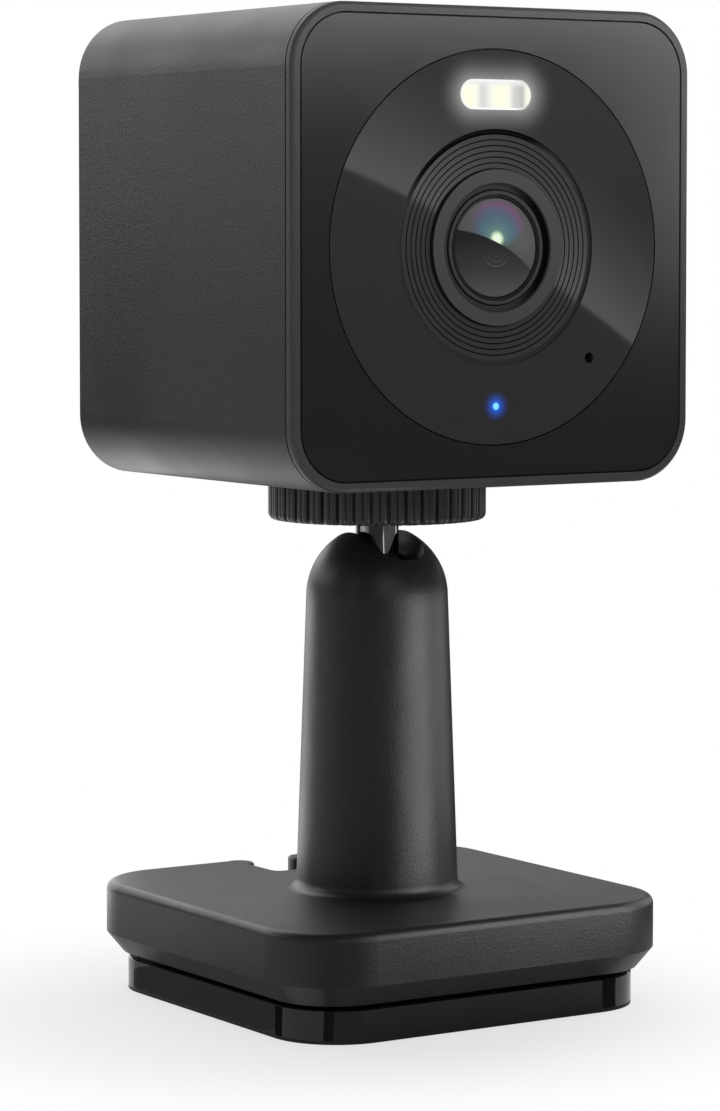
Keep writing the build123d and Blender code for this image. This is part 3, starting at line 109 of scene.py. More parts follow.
class Tree:
    """A short way to build a node material round one principled shader."""

    def __init__(self, name):
        self.material = bpy.data.materials.new(name)
        self.material.use_nodes = True
        self.nodes = self.material.node_tree.nodes
        self.links = self.material.node_tree.links
        self.shader = self.nodes["Principled BSDF"]
        self.place = self.nodes.new("ShaderNodeTexCoord").outputs["Object"]

    def set(self, **values):
        """Set constant inputs of the shader; underscores in the names stand for spaces."""
        for name, value in values.items():
            self.shader.inputs[name.replace("_", " ")].default_value = value

    def drive(self, **sources):
        """Link sockets to inputs of the shader, named in the same way."""
        for name, source in sources.items():
            self.link(source, self.shader.inputs[name.replace("_", " ")])

    def link(self, source, target):
        """Link an output to an input."""
        self.links.new(source, target)

    def noise(self, size, detail=2.0, rough=0.5, place=None):
        """Noise whose features are about this large, in metres."""
        node = self.nodes.new("ShaderNodeTexNoise")
        node.inputs["Scale"].default_value = 1.0 / size
        node.inputs["Detail"].default_value = detail
        node.inputs["Roughness"].default_value = rough
        self.link(place or self.place, node.inputs["Vector"])
        return node.outputs["Fac"]

    def ramp(self, value, *stops):
        """A colour ramp with stops of (position, colour)."""
        node = self.nodes.new("ShaderNodeValToRGB")
        elements = node.color_ramp.elements
        while len(elements) < len(stops):
            elements.new(0.5)
        for element, (position, colour) in zip(elements, stops):
            element.position = position
            element.color = (*colour, 1.0) if len(colour) == 3 else colour
        self.link(value, node.inputs["Fac"])
        return node.outputs["Color"]

    def math(self, kind, first, second=0.0):
        """One step of arithmetic on values or sockets."""
        node = self.nodes.new("ShaderNodeMath")
        node.operation = kind
        for socket, value in zip(node.inputs, (first, second)):
            if isinstance(value, (int, float)):
                socket.default_value = value
            else:
                self.link(value, socket)
        return node.outputs[0]

    def remap(self, value, low, high, new_low, new_high, smooth=False):
        """A clamped change of range."""
        node = self.nodes.new("ShaderNodeMapRange")
        node.interpolation_type = "SMOOTHSTEP" if smooth else "LINEAR"
        names = ("From Min", "From Max", "To Min", "To Max")
        for name, number in zip(names, (low, high, new_low, new_high)):
            node.inputs[name].default_value = number
        self.link(value, node.inputs["Value"])
        return node.outputs["Result"]

    def speckle(self, noise, dark, light):
        """A colour that follows a noise over its usual range."""
        return self.ramp(noise, (NOISE_LOW, dark), (NOISE_HIGH, light))

    def uneven(self, noise, low, high):
        """A value that follows a noise over its usual range."""
        return self.remap(noise, NOISE_LOW, NOISE_HIGH, low, high)

    def mix(self, factor, first, second):
        """A mix of two colours, each a constant or a socket."""
        node = self.nodes.new("ShaderNodeMix")
        node.data_type = "RGBA"
        self.link(factor, node.inputs["Factor"])
        for name, value in (("A", first), ("B", second)):
            socket = [s for s in node.inputs if s.name == name and s.type == "RGBA"][0]
            if isinstance(value, tuple):
                socket.default_value = (*value, 1.0)
            else:
                self.link(value, socket)
        return [s for s in node.outputs if s.type == "RGBA"][0]

    def bump(self, height, distance, strength=1.0):
        """A bump of this height, in metres, on the shader's normal."""
        node = self.nodes.new("ShaderNodeBump")
        node.inputs["Distance"].default_value = distance
        node.inputs["Strength"].default_value = strength
        self.link(height, node.inputs["Height"])
        self.link(node.outputs["Normal"], self.shader.inputs["Normal"])

    def emit(self, strength):
        """Make the material a plain glow of this strength, a number or a socket."""
        glow = self.nodes.new("ShaderNodeEmission")
        if isinstance(strength, (int, float)):
            glow.inputs["Strength"].default_value = strength
        else:
            self.link(strength, glow.inputs["Strength"])
        self.link(glow.outputs["Emission"], self.nodes["Material Output"].inputs["Surface"])
        self.nodes.remove(self.shader)

    def axes(self):
        """The three coordinates of the place on the object."""
        node = self.nodes.new("ShaderNodeSeparateXYZ")
        self.link(self.place, node.inputs["Vector"])
        return node.outputs["X"], node.outputs["Y"], node.outputs["Z"]

    def radius_about(self, x, z):
        """Distance from a line along Y through this point."""
        here_x, _, here_z = self.axes()
        return self.length(self.math("SUBTRACT", here_x, x), self.math("SUBTRACT", here_z, z))

    def squares(self, first, second):
        """The sum of two squares."""
        first_square = self.math("MULTIPLY", first, first)
        return self.math("ADD", first_square, self.math("MULTIPLY", second, second))

    def length(self, first, second):
        """The long side of a right-angled triangle with these two short ones."""
        return self.math("SQRT", self.squares(first, second))


def moulded(name, colour, roughness, grain, height, spread=0.12, tone=0.18, specular=0.5):
    """Moulded plastic: a fine grain in relief, speckled colour and patches of uneven gloss."""
    tree = Tree(name)
    fine = tree.noise(grain, detail=3.0, rough=0.6)
    broad = tree.noise(60 * grain, detail=2.0)
    dark = tuple(c * (1 - tone) for c in colour)
    light = tuple(c * (1 + tone) for c in colour)
    tree.drive(
        Base_Color=tree.speckle(fine, dark, light),
        Roughness=tree.uneven(broad, roughness * (1 - spread), roughness * (1 + spread)),
    )
    tree.bump(fine, height)
    tree.set(Specular_IOR_Level=specular)
    return tree.material


def metal(name, colour, roughness, brushed=0.0):
    """Metal with faint streaks along Z, and uneven gloss."""
    tree = Tree(name)
    stretch = tree.nodes.new("ShaderNodeMapping")
    stretch.inputs["Scale"].default_value = (1.0, 1.0, 0.08)
    tree.link(tree.place, stretch.inputs["Vector"])
    streaks = tree.noise(0.15 * MM, detail=2.0, place=stretch.outputs["Vector"])
    dark = tuple(c * 0.9 for c in colour)
    tree.drive(
        Base_Color=tree.ramp(streaks, (0.35, dark), (0.65, colour)),
        Roughness=tree.uneven(streaks, roughness * 0.8, roughness * 1.2),
    )
    if brushed:
        tree.bump(streaks, brushed)
    tree.set(Metallic=1.0)
    return tree.material


SHELL = moulded("shell_black", (0.013, 0.013, 0.0135), 0.42, 0.28 * MM, 0.036 * MM, specular=0.6)
STAND = moulded("stand_black", (0.013, 0.013, 0.0135), 0.38, 0.26 * MM, 0.032 * MM)
RIM = moulded("rim_black", (0.068, 0.068, 0.0685), 0.42, 0.15 * MM, 0.004 * MM, specular=0.25)
FACE = moulded("face_satin", (0.010, 0.010, 0.0102), 0.32, 0.12 * MM, 0.003 * MM, tone=0.08)
GLOSS = moulded("gloss_black", (0.006, 0.006, 0.0065), 0.06, 1.5 * MM, 0.0005 * MM, tone=0.05)
BEZEL = moulded("bezel_grey", (0.079, 0.079, 0.080), 0.50, 0.12 * MM, 0.004 * MM, specular=0.2)
RIDGES = moulded("ridge_black", (0.042, 0.042, 0.0425), 0.04, 4.0 * MM, 0.0002 * MM, tone=0.04)
# Painted shade: the ring's groove walls and sides are a darker, duller black than its ridge tops
GROOVE_SHADE = moulded("groove_painted_shade", (0.016, 0.016, 0.016), 0.6, 0.12 * MM, 0.002 * MM, specular=0.05)
WHEEL = moulded("wheel_black", (0.037, 0.037, 0.0375), 0.36, 0.2 * MM, 0.008 * MM)
BARREL = moulded("barrel_black", (0.020, 0.020, 0.020), 0.42, 0.12 * MM, 0.003 * MM)
LAND = moulded("land_grey", (0.058, 0.058, 0.0585), 0.45, 0.12 * MM, 0.003 * MM, specular=0.2)
RUBBER = moulded("rubber_black", (0.018, 0.018, 0.018), 0.75, 0.3 * MM, 0.02 * MM)
NYLON = moulded("nylon", (0.62, 0.62, 0.58), 0.45, 0.3 * MM, 0.01 * MM)
BOARD = moulded("board", (0.02, 0.12, 0.06), 0.35, 0.5 * MM, 0.01 * MM)
CHIP = moulded("chip", (0.025, 0.025, 0.026), 0.5, 0.15 * MM, 0.01 * MM)
CONE = moulded("speaker_cone", (0.02, 0.02, 0.021), 0.6, 0.3 * MM, 0.03 * MM)
STEEL = metal("steel", (0.52, 0.52, 0.51), 0.28, brushed=0.002 * MM)
TINPLATE = metal("tinplate", (0.55, 0.55, 0.53), 0.35, brushed=0.002 * MM)
CHROME = metal("stud_chrome", (0.30, 0.30, 0.305), 0.10)
BRASS = metal("insert_brass", (0.75, 0.58, 0.28), 0.25)


# Painted glow: the window's plastic is given a glow round the lamp and the status light, standing
# in for their light shining through it
LAMP_HALF_LENGTH = 4.7 * MM
LAMP_HALF_HEIGHT = 1.55 * MM
LAMP_GLOW_REACH = 3.6 * MM
LAMP_GLOW_POWER = 2.6
LAMP_GLOW = 0.26
LAMP_GLOW_COLOUR = (1.0, 0.97, 0.95)
STATUS_R = 0.45 * MM
STATUS_GLOW_START = 0.3 * MM
STATUS_GLOW_REACH = 2.0 * MM
STATUS_GLOW_POWER = 2.5
STATUS_GLOW = 0.75
STATUS_BLUE = (0.004, 0.15, 1.0)


def lamp_distance(tree, x, rise):
    """Distance from the line between the middles of the lamp's round ends."""
    past_end = tree.math("SUBTRACT", tree.math("ABSOLUTE", x), LAMP_HALF_LENGTH - LAMP_HALF_HEIGHT)
    return tree.length(tree.math("MAXIMUM", past_end, 0.0), rise)


def window_material():
    """Polished black plastic, with a painted glow close to the lamp and the status light, as if
    they lit it from behind.
    """
    tree = Tree("window_gloss")
    ripple = tree.noise(4.0 * MM)
    x, _, z = tree.axes()
    out = lamp_distance(tree, x, tree.math("SUBTRACT", z, LAMP_Z))
    from_lamp = tree.math("SUBTRACT", out, LAMP_HALF_HEIGHT)
    near_lamp = tree.remap(from_lamp, 0.0, LAMP_GLOW_REACH, 1.0, 0.0)
    lamp_glow = tree.math("MULTIPLY", tree.math("POWER", near_lamp, LAMP_GLOW_POWER), LAMP_GLOW)
    from_status = tree.radius_about(0.0, STATUS_Z)
    near_status = tree.remap(from_status, STATUS_GLOW_START, STATUS_GLOW_REACH, 1.0, 0.0)
    fall = tree.math("POWER", near_status, STATUS_GLOW_POWER)
    status_glow = tree.math("MULTIPLY", fall, STATUS_GLOW)
    by_status = tree.math("GREATER_THAN", status_glow, 0.0001)
    # The painted glow goes into the emission; the base colour is the plastic's own
    tree.drive(
        Base_Color=tree.speckle(ripple, (0.029, 0.029, 0.0295), (0.031, 0.031, 0.0315)),
        Roughness=tree.uneven(ripple, 0.02, 0.03),
        Emission_Color=tree.mix(by_status, LAMP_GLOW_COLOUR, STATUS_BLUE),
        Emission_Strength=tree.math("ADD", lamp_glow, status_glow),
    )
    return tree.material


# Colours along the lamp: two lit chips with dull gaps, from one end to the other
LAMP_WARM = (0.98, 0.98, 0.76)
LAMP_CHIPS = (
    (0.02, (0.95, 0.95, 0.86)), (0.10, LAMP_WARM), (0.21, (0.96, 0.96, 0.82)),
    (0.29, (0.68, 0.68, 0.67)), (0.35, (0.74, 0.74, 0.73)), (0.44, (0.94, 0.94, 0.84)),
    (0.55, LAMP_WARM), (0.67, (0.95, 0.95, 0.82)), (0.75, (0.64, 0.64, 0.63)),
    (0.83, (0.56, 0.56, 0.55)), (0.87, (0.52, 0.52, 0.51)), (0.92, (0.88, 0.88, 0.74)),
    (0.98, (0.94, 0.94, 0.82)),
)
LAMP_PALE = (0.78, 0.78, 0.77)
LAMP_PALE_SHARE = 0.8
LAMP_PALE_START = 0.80 * MM
LAMP_PALE_END = 1.25 * MM
LAMP_OUTLINE = (0.90, 0.90, 0.89)
LAMP_OUTLINE_START = LAMP_HALF_HEIGHT - 0.20 * MM
LAMP_OUTLINE_END = LAMP_HALF_HEIGHT - 0.08 * MM


def lamp_material():
    """Clear lit lamp lens: bright over the chips, duller between them, with a pale outline."""
    tree = Tree("lamp_white")
    x, _, z = tree.axes()
    rise = tree.math("SUBTRACT", z, LAMP_Z)
    chips = tree.ramp(tree.remap(x, -LAMP_HALF_LENGTH, LAMP_HALF_LENGTH, 0.0, 1.0), *LAMP_CHIPS)
    upper = tree.remap(rise, LAMP_PALE_START, LAMP_PALE_END, 0.0, LAMP_PALE_SHARE, smooth=True)
    shaded = tree.mix(upper, chips, LAMP_PALE)
    out = lamp_distance(tree, x, rise)
    edge = tree.remap(out, LAMP_OUTLINE_START, LAMP_OUTLINE_END, 0.0, 1.0, smooth=True)
    frost = tree.noise(0.3 * MM)
    tree.drive(
        Emission_Color=tree.mix(edge, shaded, LAMP_OUTLINE),
        Base_Color=tree.speckle(frost, (0.02, 0.02, 0.02), (0.03, 0.03, 0.03)),
    )
    tree.set(Emission_Strength=1.0, Roughness=0.2, Specular_IOR_Level=0.15)
    return tree.material


def status_material():
    """Clear lit light pipe, pale in the middle and deeper blue at its edge."""
    tree = Tree("status_blue")
    out = tree.remap(tree.radius_about(0.0, STATUS_Z), 0.0, STATUS_R, 0.0, 1.0)
    pale, blue, deep = (0.24, 0.60, 1.0), (0.16, 0.50, 1.0), (0.06, 0.34, 1.0)
    colour = tree.ramp(out, (0.0, pale), (0.7, blue), (1.0, deep))
    tree.drive(Emission_Color=colour, Base_Color=colour)
    tree.set(Emission_Strength=0.9, Roughness=0.15)
    return tree.material


def slanted_edge(tree, across, rise, slope, curve):
    """Height of a slanted, slightly bent edge at this place across it."""
    bend = tree.math("MULTIPLY", tree.math("MULTIPLY", across, across), curve)
    slant = tree.math("MULTIPLY", across, slope)
    return tree.math("ADD", tree.math("ADD", slant, bend), rise)


# Lens with painted reflections: colours by place that stand in for the coating's reflection of the
# card, cut by a slanted edge like the one in the window, and a painted glowing flare
FLARE_X = -0.30 * MM
FLARE_RISE = 0.95 * MM
FLARE_GLOW = 0.6
FAN_RISE = 2.75 * MM
FAN_X = 0.15 * MM
FAN_HALF_WIDTH = 3.8 * MM
FAN_HALF_HEIGHT = 2.7 * MM
# Painted edge of the reflection, slanted and bent like the card's edge
CUT_RISE = 0.45 * MM
CUT_SLOPE = -0.46
CUT_CURVE = -31.0
# Painted ghost reflections: faint lighter arcs below the middle
GHOST_PITCH = 0.52 * MM
GHOST_REACH = 1.85 * MM
GHOST_X = -0.35 * MM
GHOST_DROP = 0.35 * MM
GHOST_SHARE = 0.30
GHOST_GREY = (0.30, 0.30, 0.305)
CUT_BLUR = 0.05 * MM
# Painted reflection colours, by distance from the flare
PAINTED_REFLECTION_REACH = 5.0 * MM
PAINTED_REFLECTION_TINTS = (
    (0.0, (0.55, 0.62, 0.48)), (0.14, (0.42, 0.56, 0.42)), (0.20, (0.19, 0.33, 0.31)),
    (0.40, (0.13, 0.235, 0.28)), (0.58, (0.125, 0.175, 0.25)), (0.70, (0.17, 0.145, 0.24)),
    (0.78, (0.23, 0.125, 0.22)), (1.0, (0.15, 0.13, 0.15)),
)
# Painted reflection: plain grey above the cut; below it, darkest at the cut and lighter towards the
# bottom
PAINTED_REFLECTION_GREY = (0.135, 0.135, 0.136)
LOWER_REFLECTION_BOTTOM = -5.2 * MM
LOWER_REFLECTION_TOP = 1.0 * MM
PAINTED_LOWER_REFLECTION = ((0.0, PAINTED_REFLECTION_GREY), (0.45, (0.066, 0.066, 0.067)), (1.0, (0.030, 0.030, 0.031)))
# Painted flare: a glow on the glass, though the lens is no lamp
FLARE_R = 1.0 * MM
FLARE = (
    (0.0, (1.0, 1.0, 0.94)), (0.45, (0.80, 0.95, 0.70)), (0.75, (0.22, 0.36, 0.22)),
    (1.0, (0.0, 0.0, 0.0)),
)


def lens_material():
    """Lens with painted reflections: a painted flare with teal, blue and purple above it, and a
    darker painted reflection with painted ghost arcs below.
    """
    tree = Tree("lens_painted_reflection")
    x, _, z = tree.axes()
    rise = tree.math("SUBTRACT", z, LENS_Z)
    from_flare = tree.radius_about(FLARE_X, LENS_Z + FLARE_RISE)
    painted_tint = tree.ramp(tree.remap(from_flare, 0.0, PAINTED_REFLECTION_REACH, 0.0, 1.0), *PAINTED_REFLECTION_TINTS)
    aside = tree.math("DIVIDE", tree.math("SUBTRACT", x, FAN_X), FAN_HALF_WIDTH)
    above_fan = tree.math("DIVIDE", tree.math("SUBTRACT", rise, FAN_RISE), FAN_HALF_HEIGHT)
    fan = tree.remap(tree.squares(aside, above_fan), 0.40, 1.15, 1.0, 0.0, smooth=True)
    upper = tree.mix(fan, PAINTED_REFLECTION_GREY, painted_tint)
    lower_reflection = tree.ramp(tree.remap(rise, LOWER_REFLECTION_BOTTOM, LOWER_REFLECTION_TOP, 0.0, 1.0), *PAINTED_LOWER_REFLECTION)
    out = tree.radius_about(GHOST_X, LENS_Z - GHOST_DROP)
    rings = tree.math("SINE", tree.math("MULTIPLY", out, 2 * pi / GHOST_PITCH))
    below = tree.remap(rise, -GHOST_DROP - GHOST_REACH, -GHOST_DROP, GHOST_SHARE, 0.0)
    near = tree.math("MULTIPLY", tree.math("LESS_THAN", out, GHOST_REACH), below)
    ghost = tree.math("MULTIPLY", near, tree.remap(rings, 0.4, 1.0, 0.0, 1.0, smooth=True))
    lower = tree.mix(ghost, lower_reflection, GHOST_GREY)
    edge = slanted_edge(tree, x, CUT_RISE, CUT_SLOPE, CUT_CURVE)
    above = tree.remap(tree.math("SUBTRACT", rise, edge), -CUT_BLUR, CUT_BLUR, 0.0, 1.0)
    tree.drive(
        Base_Color=tree.mix(above, lower, upper),
        Emission_Color=tree.ramp(tree.remap(from_flare, 0.0, FLARE_R, 0.0, 1.0), *FLARE),
        Emission_Strength=tree.math("MULTIPLY", above, FLARE_GLOW),
        Roughness=tree.remap(rings, -1.0, 1.0, 0.09, 0.11),
    )
    tree.set(Specular_IOR_Level=0.02)
    return tree.material


SHADE_FULL = 0.85


def shaded_round(name, colour, shaded, turn, narrow, roughness):
    """Black plastic of a recess round the lens, darker towards one side, where it lies in shade."""
    tree = Tree(name)
    x, _, z = tree.axes()
    rise = tree.math("SUBTRACT", z, LENS_Z)
    size = tree.radius_about(0.0, LENS_Z)
    aside = tree.math("MULTIPLY", x, cos(turn))
    towards = tree.math("ADD", aside, tree.math("MULTIPLY", rise, sin(turn)))
    facing = tree.math("DIVIDE", towards, size)
    share = tree.remap(facing, narrow, SHADE_FULL, 0.0, 1.0, smooth=True)
    fine = tree.noise(0.12 * MM)
    tree.drive(
        Base_Color=tree.mix(share, colour, shaded),
        Roughness=tree.uneven(fine, roughness * 0.9, roughness * 1.1),
    )
    tree.set(Specular_IOR_Level=0.06)
    return tree.material


def glass_material():
    """Inner glass: smoky and polished."""
    tree = Tree("inner_glass")
    cloud = tree.noise(2.0 * MM)
    tree.drive(
        Base_Color=tree.speckle(cloud, (0.03, 0.035, 0.05), (0.05, 0.055, 0.07)),
        Roughness=tree.uneven(cloud, 0.03, 0.06),
    )
    return tree.material


WINDOW = window_material()
LAMP = lamp_material()
STATUS = status_material()
LENS = lens_material()
TROUGH_SHADE = shaded_round(
    "trough_shade", (0.056, 0.056, 0.0565), (0.002, 0.002, 0.002), radians(104), 0.60, 0.5)
WELL_SHADE = shaded_round(
    "well_shade", (0.055, 0.055, 0.056), (0.003, 0.003, 0.003), radians(2), 0.15, 0.5)
GLASS = glass_material()

SLOT_MATERIALS = {
    "shell_black": SHELL,
    "rim_black": RIM,
    "face_satin": FACE,
    "gloss_black": GLOSS,
    "bezel_grey": BEZEL,
    "wheel_black": WHEEL,
    "barrel_black": BARREL,
    "lens_glass": GLASS,
    "lamp_white": LAMP,
    "status_blue": STATUS,
    "steel": STEEL,
    "tinplate": TINPLATE,
    "stud_chrome": CHROME,
    "insert_brass": BRASS,
    "rubber_black": RUBBER,
    "nylon": NYLON,
    "board": BOARD,
    "chip": CHIP,
}
NODE_MATERIALS = {
    "stand_body": STAND,
    "base_cover": STAND,
    "lens_window": WINDOW,
    "front_lens": LENS,
    "speaker": CONE,
}
CAD_CREASE = radians(33)


def paint_cad():
    """Give each CAD node the material of its slot, or its own."""
    for part in frame["record"]["subparts"]:
        name = part["node"]
        mesh = nodes[name].data
        mesh.materials.clear()
        mesh.materials.append(NODE_MATERIALS.get(name, SLOT_MATERIALS[part["material_slot"]]))


def crisp_cad():
    """Shade each CAD node with flat faces, crisp chamfers and smooth fillets."""
    for node in nodes.values():
        mesh = node.data
        if "custom_normal" in mesh.attributes:
            mesh.attributes.remove(mesh.attributes["custom_normal"])
        for face in mesh.polygons:
            face.use_smooth = True
        mesh.set_sharp_from_angle(angle=CAD_CREASE)
        weigh = node.modifiers.new("flat_faces", "WEIGHTED_NORMAL")
        weigh.keep_sharp = True


paint_cad()
crisp_cad()


# Mesh building

SMOOTH_LIMIT = radians(28)


def piece(name, bm, material, body, slot, *replaced):
    """Turn a bmesh into a piece that rides a body and stands for CAD nodes."""
    bmesh.ops.remove_doubles(bm, verts=bm.verts, dist=0.001 * MM)
    bmesh.ops.recalc_face_normals(bm, faces=bm.faces)
    mesh = bpy.data.meshes.new(name)
    bm.to_mesh(mesh)
    bm.free()
    for face in mesh.polygons:
        face.use_smooth = True
    mesh.set_sharp_from_angle(angle=SMOOTH_LIMIT)
    mesh.materials.append(material)
    made = bpy.data.objects.new(name, mesh)
    scene.collection.objects.link(made)
    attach(made, body)
    if replaced:
        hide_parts(*replaced)
    return made


def skin(bm, loops, closed=True):
    """Join loops of points, each as long as the next, with quads."""
    rows = [[bm.verts.new(p) for p in loop] for loop in loops]
    pairs = list(zip(rows, rows[1:] + rows[:1])) if closed else list(zip(rows, rows[1:]))
    for row, other in pairs:
        for i in range(len(row)):
            j = (i + 1) % len(row)
            bm.faces.new((row[i], row[j], other[j], other[i]))
    return rows


def lens_circle(radius, depth, count):
    """Points of a circle about the lens axis, this far behind the face."""
    turns = [2 * pi * i / count for i in range(count)]
    return [Vector((radius * cos(t), FACE_Y + depth, LENS_Z + radius * sin(t))) for t in turns]


# Ridged ring round the lens
RING_SEGMENTS = 256
RIDGE_OUTER_R = 12.985 * MM
TROUGH = ((0.00, 0.26), (0.14, 0.34), (0.30, 0.32), (0.44, 0.26), (0.52, 0.18), (0.58, 0.10))
RIDGE_START_R = 12.46 * MM
RIDGE_PITCH = 0.634 * MM
RIDGE_COUNT = 6
RIDGE_SINK = 0.10 * MM
GROOVE_HALF = 0.075 * MM
RIDGE_GROOVE_DEPTH = 0.14 * MM
FLAT_RING_OUTER_R = 8.62 * MM
FLAT_RING_INNER_R = 7.10 * MM
FLAT_RING_PROUD = 0.35 * MM
FLAT_RING_EDGE = 0.05 * MM
WELL_INNER_R = 6.42 * MM
WELL_DEPTH = 0.22 * MM
WELL_CORNER = 0.22 * MM
RING_FLAT = 0.97
BEZEL_BACK = bezel_high.y - FACE_Y
BEZEL_FLANGE_R = bezel_high.x


def make_ring():
    """Flat ridges in a round trough, then a raised flat ring and a well round the barrel."""
    outline = [
        (WELL_INNER_R, BEZEL_BACK),
        (BEZEL_FLANGE_R, BEZEL_BACK),
        (BEZEL_FLANGE_R, WINDOW_BACK),
        (RIDGE_OUTER_R, WINDOW_BACK),
    ]
    outline += [(RIDGE_OUTER_R - inset * MM, depth * MM) for inset, depth in TROUGH]
    for index in range(RIDGE_COUNT):
        start = RIDGE_START_R - index * RIDGE_PITCH
        end = start - RIDGE_PITCH
        outline.append((start - GROOVE_HALF, RIDGE_SINK))
        outline.append((end + GROOVE_HALF, RIDGE_SINK))
        outline.append((end, RIDGE_SINK + RIDGE_GROOVE_DEPTH))
    outline += [
        (FLAT_RING_OUTER_R, RIDGE_SINK + RIDGE_GROOVE_DEPTH),
        (FLAT_RING_OUTER_R, FLAT_RING_EDGE - FLAT_RING_PROUD),
        (FLAT_RING_OUTER_R - FLAT_RING_EDGE, -FLAT_RING_PROUD),
        (FLAT_RING_INNER_R + FLAT_RING_EDGE, -FLAT_RING_PROUD),
        (FLAT_RING_INNER_R, FLAT_RING_EDGE - FLAT_RING_PROUD),
        (FLAT_RING_INNER_R, WELL_DEPTH - WELL_CORNER),
        (FLAT_RING_INNER_R - WELL_CORNER, WELL_DEPTH),
        (WELL_INNER_R, WELL_DEPTH),
    ]
    bm = bmesh.new()
    skin(bm, [lens_circle(radius, depth, RING_SEGMENTS) for radius, depth in outline])
    ring = piece("lens_ring", bm, RIDGES, "head", "bezel_grey", "lens_bezel")
    # Painted shade: the groove walls and the ring's sides take the darker groove material
    for material in (GROOVE_SHADE, BEZEL, WELL_SHADE, TROUGH_SHADE):
        ring.data.materials.append(material)
    axis = Vector((0, 0, LENS_Z))
    for face in ring.data.polygons:
        across = face.center - axis
        out = Vector((across.x, across.z)).length
        flat = abs(face.normal.y) > RING_FLAT
        if out > RIDGE_START_R - GROOVE_HALF:
            face.material_index = 4
        elif out > FLAT_RING_OUTER_R:
            face.material_index = 0 if flat else 1
        elif flat and out > FLAT_RING_INNER_R:
            face.material_index = 2
        elif out < FLAT_RING_INNER_R + FLAT_RING_EDGE:
            face.material_index = 3 if out < FLAT_RING_INNER_R - WELL_CORNER / 3 else 2
        else:
            face.material_index = 1


make_ring()


# Lens barrel with fine turned rings on its front, and the domed glass in it
BARREL_LENGTH = 15.5 * MM
BARREL_FRONT = (
    (6.30, 0.34), (6.29, 0.08), (6.23, 0.02), (5.88, 0.02), (5.83, 0.08), (5.81, 0.32),
    (5.73, 0.32), (5.71, 0.14), (5.68, 0.10), (5.62, 0.10), (5.59, 0.14), (5.57, 0.34),
    (5.45, 0.30),
)
OUTER_LAND_R = 5.85 * MM
BARREL_BORES = ((5.45, 1.82), (4.25, 1.82), (4.25, 10.0), (3.80, 10.0))
LENS_DOME_R = 18.0 * MM
LENS_RINGS = 20
LENS_POLE_R = 0.03 * MM
LENS_SEAT = 1.80 * MM
LENS_BACK_R = 4.2 * MM
LENS_BACK_SAG = 0.6 * MM


def make_barrel():
    """Turned barrel: two fine lands on the front and the bores for the glasses."""
    front = [(radius * MM, depth * MM) for radius, depth in BARREL_FRONT]
    bores = [(radius * MM, depth * MM) for radius, depth in BARREL_BORES]
    outline = [(front[0][0], BARREL_LENGTH)] + front + bores + [(bores[-1][0], BARREL_LENGTH)]
    bm = bmesh.new()
    skin(bm, [lens_circle(radius, depth, RING_SEGMENTS) for radius, depth in outline])
    barrel = piece("barrel_turned", bm, BARREL, "head", "barrel_black", "lens_barrel")
    barrel.data.materials.append(LAND)
    for face in barrel.data.polygons:
        across = Vector((face.center.x, face.center.z - LENS_Z)).length
        face.material_index = 1 if across > OUTER_LAND_R and face.normal.y < -0.5 else 0


def make_glass():
    """Front glass: a shallow dome with a ground edge and a hollow back."""
    apex = lens_low.y - FACE_Y
    outline = []
    for step in range(LENS_RINGS + 1):
        radius = LENS_POLE_R + (LENS_R - LENS_POLE_R) * step / LENS_RINGS
        outline.append((radius, apex + LENS_DOME_R - sqrt(LENS_DOME_R**2 - radius**2)))
    outline += [(LENS_R, LENS_SEAT), (LENS_BACK_R, LENS_SEAT)]
    outline.append((LENS_POLE_R, LENS_SEAT - LENS_BACK_SAG))
    bm = bmesh.new()
    loops = [lens_circle(radius, depth, RING_SEGMENTS) for radius, depth in outline]
    rows = skin(bm, loops, closed=False)
    bm.faces.new(rows[0])
    bm.faces.new(rows[-1])
    piece("front_glass", bm, LENS, "head", "lens_glass", "front_lens")


make_barrel()
make_glass()


# Lamp lens: a clear rounded bar with a flange behind the window
LAMP_STEPS = 20
LAMP_ROUNDING = 0.22 * MM
LAMP_ROUND_STEPS = 4
LAMP_FLANGE = 0.5 * MM
LAMP_BACK = lamp_high.y - FACE_Y


def stadium(half_length, half_height, depth):
    """Points of a bar with round ends, about the lamp's middle, this far behind the face."""
    points = []
    for end in (1, -1):
        for step in range(LAMP_STEPS + 1):
            turn = -pi / 2 + pi * step / LAMP_STEPS
            x = end * (half_length - half_height + half_height * cos(turn))
            points.append(Vector((x, FACE_Y + depth, LAMP_Z + end * half_height * sin(turn))))
    return points


def make_lamp():
    """The lamp's clear lens."""
    length, height = LAMP_HALF_LENGTH, LAMP_HALF_HEIGHT
    loops = [
        stadium(length + LAMP_FLANGE, height + LAMP_FLANGE, LAMP_BACK),
        stadium(length + LAMP_FLANGE, height + LAMP_FLANGE, WINDOW_BACK),
        stadium(length, height, WINDOW_BACK),
    ]
    for step in range(LAMP_ROUND_STEPS + 1):
        turn = (pi / 2) * step / LAMP_ROUND_STEPS
        inset = LAMP_ROUNDING * (1 - cos(turn))
        loops.append(stadium(length - inset, height - inset, LAMP_ROUNDING * (1 - sin(turn))))
    bm = bmesh.new()
    rows = skin(bm, loops, closed=False)
    bm.faces.new(rows[0])
    bm.faces.new(rows[-1])
    piece("lamp_lens", bm, LAMP, "head", "lamp_white", "lamp_diffuser")


make_lamp()


